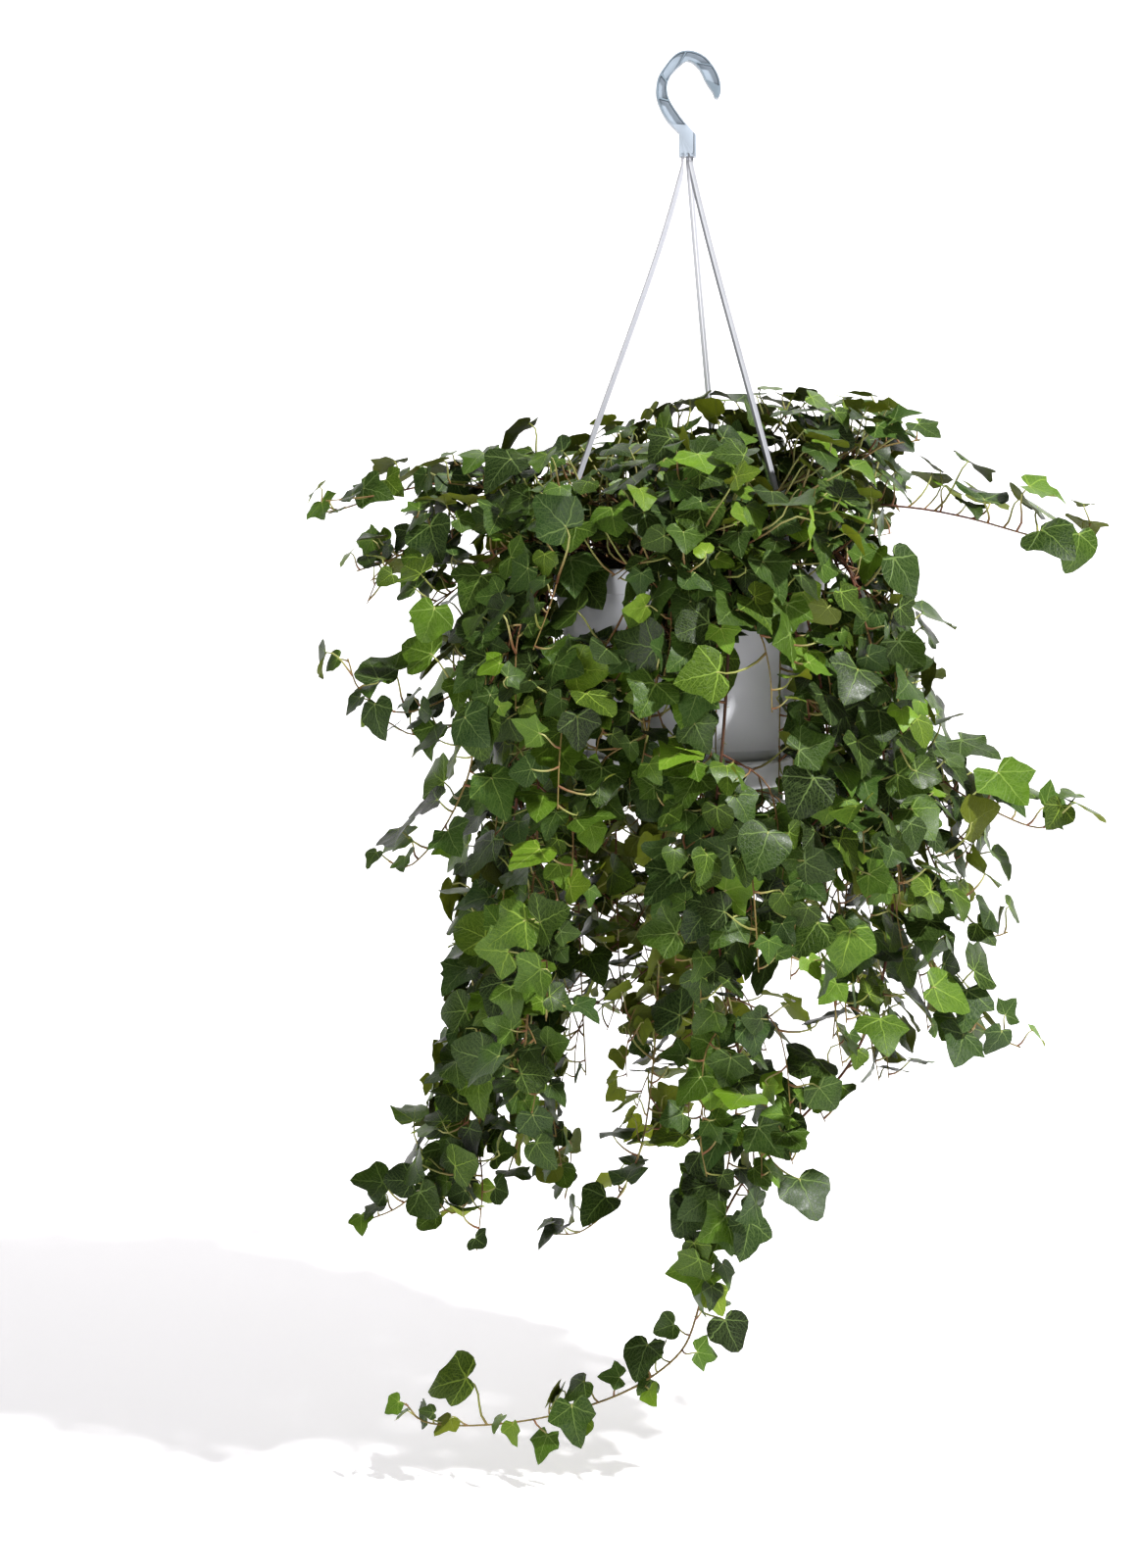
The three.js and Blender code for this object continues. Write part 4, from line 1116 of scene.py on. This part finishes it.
def plastic_look(name, roughness, low, high, tree):
    grain = noise(tree, 160.0, 4.0)
    colour = tint(noise(tree, 38.0, 2.0), low, high)
    if name == "hook":
        height = parts(node(tree, "ShaderNodeTexCoord", out="Object"))[2]
        colour = mixed(between(height, *HOOK_PLATE), colour, HOOK_RAIL)
    return {"Base Color": colour, "Roughness": grain * 0.18 + (roughness - 0.08), "Normal": bump(grain, 0.15)}


def crumb_look(tree):
    crumb, damp = noise(tree, 210.0, 6.0), noise(tree, 22.0, 3.0)
    earth = tint(crumb, (0.008, 0.005, 0.003), (0.035, 0.02, 0.011), (0.10, 0.055, 0.03))
    return {"Base Color": mixed(damp, earth, (0.02, 0.012, 0.008)), "Normal": bump(crumb, 2.2)}


def fibre_look(tree):
    strand = noise(tree, 60.0, 4.0)
    return {"Base Color": tint(strand, (0.035, 0.016, 0.008), (0.15, 0.075, 0.035), (0.28, 0.17, 0.09))}


def finishes():
    made = {
        "Upper": leaf_finish(
            "leaf_upper_face",
            0.37,
            0.12,
            [(0.014, 0.030, 0.002), (0.038, 0.079, 0.003), (0.092, 0.172, 0.009), (0.180, 0.275, 0.020)],
            (0.013, 0.032, 0.009),
            0.62,
            [(0.12, 0.18, 0.05), (0.18, 0.28, 0.04), (0.29, 0.38, 0.04)],
            0.75,
            -0.7,
        ),
        # The under face is paler olive, as real undersides are, and painted lighter still as light shining through the
        # blade.
        "Under": leaf_finish(
            "leaf_under_face",
            0.6,
            0.08,
            [(0.108, 0.130, 0.007), (0.150, 0.182, 0.009), (0.215, 0.255, 0.012), (0.300, 0.345, 0.022)],
            (0.064, 0.092, 0.015),
            0.6,
            [(0.12, 0.15, 0.03), (0.19, 0.23, 0.05)],
            0.5,
            0.9,
        ),
        "Stalk": finish("leaf_stalk", 0.5, stalk_look),
        "Bark": finish("stem_bark", 0.62, bark_look),
        "pot": finish("pot_plastic", 0.3, pot_look),
        "Crumb": finish("soil_crumb", 0.95, crumb_look),
        "Fibre": finish("soil_fibre", 0.85, fibre_look),
    }
    for name, roughness, low, high in PLASTICS:
        look = partial(plastic_look, name, roughness, low, high)
        made[name] = finish(f"{name}_plastic", roughness, look)
    return made


def outward(piece, sharp=None):
    """Turns a closed piece's faces outwards. With an angle, its shading is smooth except across sharper edges."""
    mesh = bmesh.new()
    mesh.from_mesh(piece.data)
    bmesh.ops.recalc_face_normals(mesh, faces=mesh.faces)
    if sharp:
        for edge in mesh.edges:
            edge.smooth = len(edge.link_faces) == 2 and edge.calc_face_angle(0) < math.radians(sharp)
        for face in mesh.faces:
            face.smooth = True
    mesh.to_mesh(piece.data)
    mesh.free()
    return piece


def ring(radius, sides):
    """Points round the Z axis."""
    turns = [2 * math.pi * side / sides for side in range(sides)]
    return [(radius * math.cos(turn), radius * math.sin(turn)) for turn in turns]


def rounded(corners, steps=4):
    """The profile through corners of (radius, height, rounding), each rounded by its own radius."""
    points = []
    for i, (radius, height, rounding) in enumerate(corners):
        if not 0 < i < len(corners) - 1:
            points.append((radius, height))
            continue
        corner = Vector((radius, height))
        before, after = (Vector(corners[other][:2]) - corner for other in (i - 1, i + 1))
        reach = min(rounding, before.length * 0.45, after.length * 0.45)
        if reach < 0.01:
            points.append(corner)
            continue
        start, end = corner + before.normalized() * reach, corner + after.normalized() * reach
        for t in (step / steps for step in range(steps + 1)):
            points.append(start * (1 - t) ** 2 + corner * 2 * t * (1 - t) + end * t**2)
    return points


def turned(name, corners, material):
    """A closed profile turned about the Z axis. It starts and ends on the axis."""
    profile = rounded(corners)
    rings = [ring(radius, ROUND_SIDES) for radius, _ in profile[1:-1]]
    points = [(0, 0, profile[0][1] - RIM_DROP), (0, 0, profile[-1][1] - RIM_DROP)]
    for side in range(ROUND_SIDES):
        points += [(*around[side], height - RIM_DROP) for around, (_, height) in zip(rings, profile[1:-1])]
    count = len(rings)
    faces = []
    for side in range(ROUND_SIDES):
        a, b = 2 + side * count, 2 + (side + 1) % ROUND_SIDES * count
        faces += [(a + i, b + i, b + i + 1, a + i + 1) for i in range(count - 1)]
        faces += [(0, b, a), (1, a + count - 1, b + count - 1)]
    return outward(mesh_piece(name, points, faces=faces, finish=material), SHARP_ANGLE)


def pot(material):
    band_foot, inner = RIM_RADIUS - RIM_STEP, RIM_RADIUS - RIM_STEP - POT_WALL
    return turned("grey_pot", [
        (0, -BASE_DEPTH, 0),
        (BASE_RADIUS, -BASE_DEPTH, 2.5),
        (BASE_RADIUS, -WALL_DEPTH, 0.8),
        (WALL_FOOT_RADIUS, -WALL_DEPTH, 0.9),
        (band_foot, -RIM_BAND, 0.8),
        (RIM_RADIUS - RIM_DRAFT, -RIM_BAND, 0.7),
        (RIM_RADIUS, -RIM_EDGE, 0.8),
        (RIM_RADIUS - RIM_EDGE, 0, 0.8),
        (inner, 0, 0.8),
        (inner - 1, -RIM_BAND, 0),
        (WALL_FOOT_RADIUS - POT_WALL, POT_WALL - WALL_DEPTH, 0),
        (BASE_RADIUS - POT_WALL, -WALL_DEPTH, 0),
        (BASE_RADIUS - POT_WALL, POT_WALL - BASE_DEPTH, 0),
        (0, POT_WALL - BASE_DEPTH, 0),
    ], material)


def saucer(material):
    return turned("clip_on_saucer", [
        (0, -SAUCER_BASE, 0),
        (SAUCER_FOOT_RADIUS - 2, -SAUCER_BASE, 1),
        (SAUCER_FOOT_RADIUS, 2 - SAUCER_BASE, 1.5),
        (SAUCER_RADIUS - 0.4, -SAUCER_TOP - 3.5, 0.5),
        (SAUCER_RADIUS, -SAUCER_TOP - 3, 0.5),
        (SAUCER_RADIUS, -SAUCER_TOP, 0.8),
        (SAUCER_RADIUS - SAUCER_WALL, -SAUCER_TOP, 0.8),
        (SAUCER_FOOT_RADIUS - SAUCER_WALL, -SAUCER_FLOOR, 2),
        (0, -SAUCER_FLOOR, 0),
    ], material)


def soil_height(x, y):
    away = math.hypot(x - MOUND_CENTRE[0], y - MOUND_CENTRE[1]) / MOUND_SPREAD
    return SOIL_LEVEL + MOUND_HEIGHT * math.exp(-away * away)


def soil_tree():
    """Roughens the soil's top and strews it with fibres and bits of bark."""
    tree, given = new_tree("strewn_soil", {
        "Lump": 5 * MM, "Fibres": 26000.0, "Fibre length": 9 * MM, "Crumb": "Material", "Fibre": "Material",
    })
    lay, top = partial(node, tree), kept(tree, "top")
    lump = lay("ShaderNodeTexNoise", {"Scale": 75.0, "Detail": 4.0, "Roughness": 0.6})
    offset = lay("ShaderNodeCombineXYZ", {2: (lump - 0.5) * (given["Lump"] * top)})
    ground = lay("GeometryNodeSetPosition", {"Geometry": given["Geometry"], "Offset": offset})
    feeds = {"Mesh": ground, "Selection": top, "Density": given["Fibres"], "Seed": 7}
    spots = lay("GeometryNodeDistributePointsOnFaces", feeds)
    feeds = {"Vertices": 5, "Side Segments": 3, "Radius Top": 0.2 * MM, "Radius Bottom": 0.55 * MM}
    strand = lay("GeometryNodeMeshCone", {**feeds, "Depth": given["Fibre length"]})
    lay_random = partial(lay, "FunctionNodeRandomValue", data_type="FLOAT_VECTOR")
    roll = lay_random({0: (1.15, 0.0, 0.0), 1: (1.75, 0.5, 6.28), "Seed": 3})
    size = lay_random({0: (0.6, 0.6, 0.25), 1: (1.7, 1.2, 1.4), "Seed": 9})
    feeds = {"Points": spots, "Instance": strand, "Rotation": roll, "Scale": size}
    strands = lay("GeometryNodeRealizeInstances", {0: lay("GeometryNodeInstanceOnPoints", feeds)})
    ground = lay("GeometryNodeSetMaterial", {"Geometry": ground, "Material": given["Crumb"]})
    strands = lay("GeometryNodeSetMaterial", {"Geometry": strands, "Material": given["Fibre"]})
    return tree_end(tree, [ground, strands], "GeometryNodeSetShadeSmooth")


def soil(looks):
    """The soil's body: a lumpy top on a plain side and floor that follow the pot's inner wall."""
    outer, floor = RIM_RADIUS - RIM_STEP - POT_WALL - 1.5, POT_WALL - BASE_DEPTH + SEAT_GAP
    points, top = [(0, 0, soil_height(0, 0) - RIM_DROP)], [1.0]
    for step in range(1, SOIL_RINGS + 1):
        points += [(x, y, soil_height(x, y) - RIM_DROP) for x, y in ring(outer * step / SOIL_RINGS, SOIL_SIDES)]
        top += [float(step < SOIL_RINGS)] * SOIL_SIDES
    foot = BASE_RADIUS - POT_WALL - 1
    for radius, height in ((WALL_FOOT_RADIUS - POT_WALL - 1, 4 - WALL_DEPTH), (foot, -WALL_DEPTH), (foot, floor)):
        points += [(x, y, height - RIM_DROP) for x, y in ring(radius, SOIL_SIDES)]
    points.append((0, 0, floor - RIM_DROP))
    top += [0.0] * (len(points) - len(top))
    last_ring = len(points) - 1 - SOIL_SIDES
    faces = []
    for side in range(SOIL_SIDES):
        follow = (side + 1) % SOIL_SIDES
        faces.append((0, 1 + side, 1 + follow))
        for a in range(1, last_ring, SOIL_SIDES):
            b = a + SOIL_SIDES
            faces.append((a + side, b + side, b + follow, a + follow))
        faces.append((last_ring + follow, last_ring + side, len(points) - 1))
    piece = mesh_piece("potting_soil", points, faces=faces)
    give(piece.data, "top", top)
    return grown(piece, soil_tree(), **looks)


def flat_curve(points):
    """A smooth flat curve through (x, z) points, as a function of a share from 0 to 1."""
    run = Path([(x, 0, z) for x, z in points])
    return lambda share: run.spot(share)[[0, 2]]


def prism(name, outlines, levels, material):
    """A closed piece between two outlines of (x, z) points, each at its own y."""
    count = len(outlines[0])
    points = [(x, y, z) for outline, y in zip(outlines, levels) for x, z in outline]
    faces = [tuple(range(count)), tuple(range(2 * count - 1, count - 1, -1))]
    faces += [(i, count + i, count + (i + 1) % count, (i + 1) % count) for i in range(count)]
    return outward(mesh_piece(name, points, faces=faces, finish=material))


def plate(name, outline, depth, material):
    """A flat outline thickened to both sides of y = 0."""
    return prism(name, (outline, outline), (-depth / 2, depth / 2), material)


def block(name, start, end, bottom, top, depth, material):
    return plate(name, [(start, bottom), (end, bottom), (end, top), (start, top)], depth, material)


def combined(piece, tool, operation="DIFFERENCE"):
    """Takes the tool's shape out of the piece, or adds it with UNION."""
    boolean = piece.modifiers.new("tool", "BOOLEAN")
    boolean.operation, boolean.solver, boolean.object = operation, "EXACT", tool
    shaped(piece)
    bpy.data.objects.remove(tool)


def finished(piece, width):
    """Bevels the piece's edges and makes the rest smooth."""
    bevel = piece.modifiers.new("edge", "BEVEL")
    bevel.width, bevel.segments = width * MM, 2
    bevel.limit_method, bevel.angle_limit = "ANGLE", math.radians(40)
    return outward(shaped(piece), SHARP_ANGLE)


def trough(outlines, side, materials, sunk=0.0):
    """A tool that sinks a channel with sloping edges into one face of the hook: outlines at its top and floor.

    The materials are those of the hook, the channel's floor, painted a little darker as shade in the recess, and its
    sloping edges, painted dark as shade.
    """
    levels = side * (HOOK_DEPTH / 2 + 0.5), side * (HOOK_DEPTH / 2 - CHANNEL_DEPTH)
    tool = prism("trough", outlines, levels, materials[0])
    for material in materials[1:]:
        tool.data.materials.append(material)
    for face in tool.data.polygons:
        face.material_index = 2 if face.index > 1 else 1
    tool.data.transform(Matrix.Translation((0, side * sunk * MM, 0)))
    return tool


def ribbon_outline(line, width):
    """The outline of a flat line of that width through (x, z) points."""
    line = [np.array(point, float) for point in line]
    left, right = [], []
    for i, point in enumerate(line):
        ahead = unit(line[min(i + 1, len(line) - 1)] - line[max(i - 1, 0)]) * width / 2
        left.append(point + [-ahead[1], ahead[0]])
        right.append(point + [ahead[1], -ahead[0]])
    return [*left, *right[::-1]]


def hook(looks):
    """A question-mark hook: rails round both faces, a sunk channel between them, and ribs across it."""
    # The channel's floor finish is painted a little darker and the edge finish dark: painted shade in the sunk channel
    # and groove.
    plain, channel, edge = materials = [looks[key] for key in ("hook", "hook_channel", "hook_edge")]
    outside, inside = flat_curve(HOOK_OUTSIDE), flat_curve(HOOK_INSIDE[::-1])
    outer, inner = ([curve(i / HOOK_STEPS) for i in range(HOOK_STEPS + 1)] for curve in (outside, inside))
    tip = (outer[-1] + inner[-1]) / 2 + unit(outer[-1] - outer[-4]) * 2.2
    outline = [(-8, SHANK_FOOT), *outer, tip, *inner[::-1], (7, SHANK_FOOT)]
    body = plate("moulded_hook", outline, HOOK_DEPTH, plain)
    body.data.materials.append(channel)
    body.data.materials.append(edge)
    for start, end in CHANNEL_CELLS:
        outlines = []
        for inset in (0, CHANNEL_SLOPE):
            near, far = [], []
            for i in range(15):
                mark = start + inset / 150 + (end - start - inset / 75) * i / 14
                a, b = outside(mark), inside(mark)
                rail = unit(b - a) * (CHANNEL_RAIL - 0.4 + inset)
                near.append(a + rail)
                far.append(b - rail)
            outlines.append([*near, *far[::-1]])
        for side in (-1, 1):
            combined(body, trough(outlines, side, materials))
    # The groove's floor and walls take the dark edge finish: a painted shade line.
    grooves = [ribbon_outline(GROOVE_LINE, width) for width in (GROOVE_WIDTH * 1.2, GROOVE_WIDTH)]
    for side in (-1, 1):
        combined(body, trough(grooves, side, (plain, edge, edge), CHANNEL_DEPTH - 0.8))
    for i in range(NOTCHES):
        for side in (-1, 1):
            outline = [(x - 5 + i * NOTCH_STEP, z + SHANK_FOOT) for x, z in NOTCH]
            notch = plate("notch", outline, NOTCH_DEPTH, plain)
            notch.data.transform(Matrix.Translation((0, side * HOOK_DEPTH / 2 * MM, 0)))
            combined(body, notch)
    room = STRAP_THICKNESS + 2 * SEAT_GAP
    for _, azimuth, start in STRAPS:
        sides = (start - room / 2, start + room / 2, SHANK_FOOT - 10, SHANK_FOOT + STRAP_POCKET + SEAT_GAP)
        pocket = block("pocket", *sides, 2 * (STRAP_WIDTH / 2 + SEAT_GAP), plain)
        pocket.data.transform(Matrix.Rotation(math.radians(azimuth), 4, "Z"))
        combined(body, pocket)
    return finished(body, 0.55)


def rib_outline(run):
    """The rib under a strap: along the middle of the band, and back along the rib's free edge."""
    first, last = RIB_STEPS
    spine, edge = [], []
    for step in np.linspace(first, last, 49):
        mark = step / STRAP_STEPS
        ahead = unit(run(mark + 0.005) - run(mark - 0.005))
        depth = RIB_DEPTH * min(step - first, last - step, 1)
        spine.append(run(mark))
        edge.append(run(mark) + [ahead[1] * depth, -ahead[0] * depth])
    return [*spine, *edge[-2:0:-1]]


def strap(name, azimuth, start, material):
    """A strap from its pocket in the hook's foot down to a toe under the rim's band, with a rib on its inner face.

    The points along its middle come with it.
    """
    toe_top = -RIM_DROP - RIM_BAND - SEAT_GAP
    bow = [(radius, height - RIM_DROP) for radius, height in STRAP_BOW]
    run = flat_curve([(start, SHANK_FOOT - 2), (start + 2.6, SHANK_FOOT - 15), *bow,
                      (STRAP_SEAT_RADIUS - 2, 16 - RIM_DROP), (STRAP_SEAT_RADIUS, 5 - RIM_DROP)])
    path = [(start, SHANK_FOOT + STRAP_POCKET), *[run(i / 60) for i in range(61)],
            (STRAP_SEAT_RADIUS, toe_top - TOE_HEIGHT - STRAP_TAIL)]
    ribbon = plate(name, ribbon_outline(path, STRAP_THICKNESS), STRAP_WIDTH, material)
    toe_start = STRAP_SEAT_RADIUS - (RIM_STEP + STRAP_THICKNESS / 2 - 0.2)
    sides = (toe_start, STRAP_SEAT_RADIUS, toe_top, toe_top - TOE_HEIGHT)
    combined(ribbon, block("toe", *sides, STRAP_WIDTH - 0.6, material), "UNION")
    combined(ribbon, plate("rib", rib_outline(run), RIB_WIDTH, material), "UNION")
    finished(ribbon, 0.25)
    turn = math.radians(azimuth)
    ribbon.data.transform(Matrix.Rotation(turn, 4, "Z"))
    middle = np.array([(x, 0, z + RIM_DROP) for x, z in path])
    around = np.array([[math.cos(turn), math.sin(turn), 0], [-math.sin(turn), math.cos(turn), 0], [0, 0, 1]])
    return ribbon, middle @ around


def floor_look(tree):
    return {"Base Color": (0.9, 0.88, 0.9, 1), "Emission Color": (1, 1, 1, 1), "Emission Strength": FLOOR_GLOW}


def placed(name, data, place):
    made = bpy.data.objects.new(name, data)
    made.location = place
    bpy.context.scene.collection.objects.link(made)
    return made


def stage():
    """A pale floor that curves up into a backdrop, soft light from the front right, and the camera."""
    (front, back), bend = FLOOR_SPAN, BACKDROP_BEND
    turns = [math.pi / 2 * i / 16 for i in range(1, 17)]
    profile = [(front, FLOOR), (back, FLOOR)]
    profile += [(back + bend * math.sin(turn), FLOOR + bend * (1 - math.cos(turn))) for turn in turns]
    profile.append((back + bend, FLOOR + BACKDROP_HEIGHT))
    points = [(x, y, z) for x in (-FLOOR_HALF_WIDTH, FLOOR_HALF_WIDTH) for y, z in profile]
    count = len(profile)
    faces = [(i, i + 1, count + i + 1, count + i) for i in range(count - 1)]
    mesh_piece("pale_floor", points, faces=faces, finish=finish("pale_floor", 0.9, floor_look))

    for name, place, aim, width, power in LAMPS:
        light = bpy.data.lights.new(name, "AREA")
        light.shape, light.size, light.energy = "DISK", width, power
        lamp = placed(name, light, place)
        lamp.rotation_euler = (Vector(aim) - Vector(place)).to_track_quat("-Z", "Y").to_euler()

    world = bpy.data.worlds.new("soft_studio")
    world.use_nodes = True
    colour, strength = world.node_tree.nodes["Background"].inputs[:2]
    colour.default_value, strength.default_value = (1, 1, 1, 1), WORLD_LIGHT
    scene = bpy.context.scene
    scene.world = world
    scene.view_settings.view_transform = "Standard"

    camera = bpy.data.cameras.new("camera")
    camera.lens, camera.sensor_fit, camera.sensor_width, camera.sensor_height = 50, "AUTO", 36, 36
    camera.shift_y, camera.clip_end = CAMERA_SHIFT, 50
    scene.camera = placed("camera", camera, CAMERA_PLACE)
    scene.camera.rotation_euler = (math.radians(90), 0, 0)


def main():
    looks = finishes()
    made = {"hook": hook(looks), "pot": pot(looks["pot"]), "saucer": saucer(looks["pot"]), "soil": soil(looks)}
    near_straps = []
    for name, azimuth, start in STRAPS:
        made[name], spots = strap(f"flat_{name}", azimuth, start, looks[name])
        near_straps += [np.linspace(a, b, 6) for a, b in zip(spots, spots[1:])]

    leaf, tree = leaf_form(), spray_tree()
    for number, stem in enumerate(grow(Canopy(np.concatenate(near_straps)))):
        name = f"vine_{number + 1:02d}"
        made[name] = grown(stem_lines(number, *stem), tree, Leaf=leaf, **looks)
    bpy.data.objects.remove(leaf)

    for name, piece in made.items():
        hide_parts(name)
        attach(piece, "root")
    stage()


main()
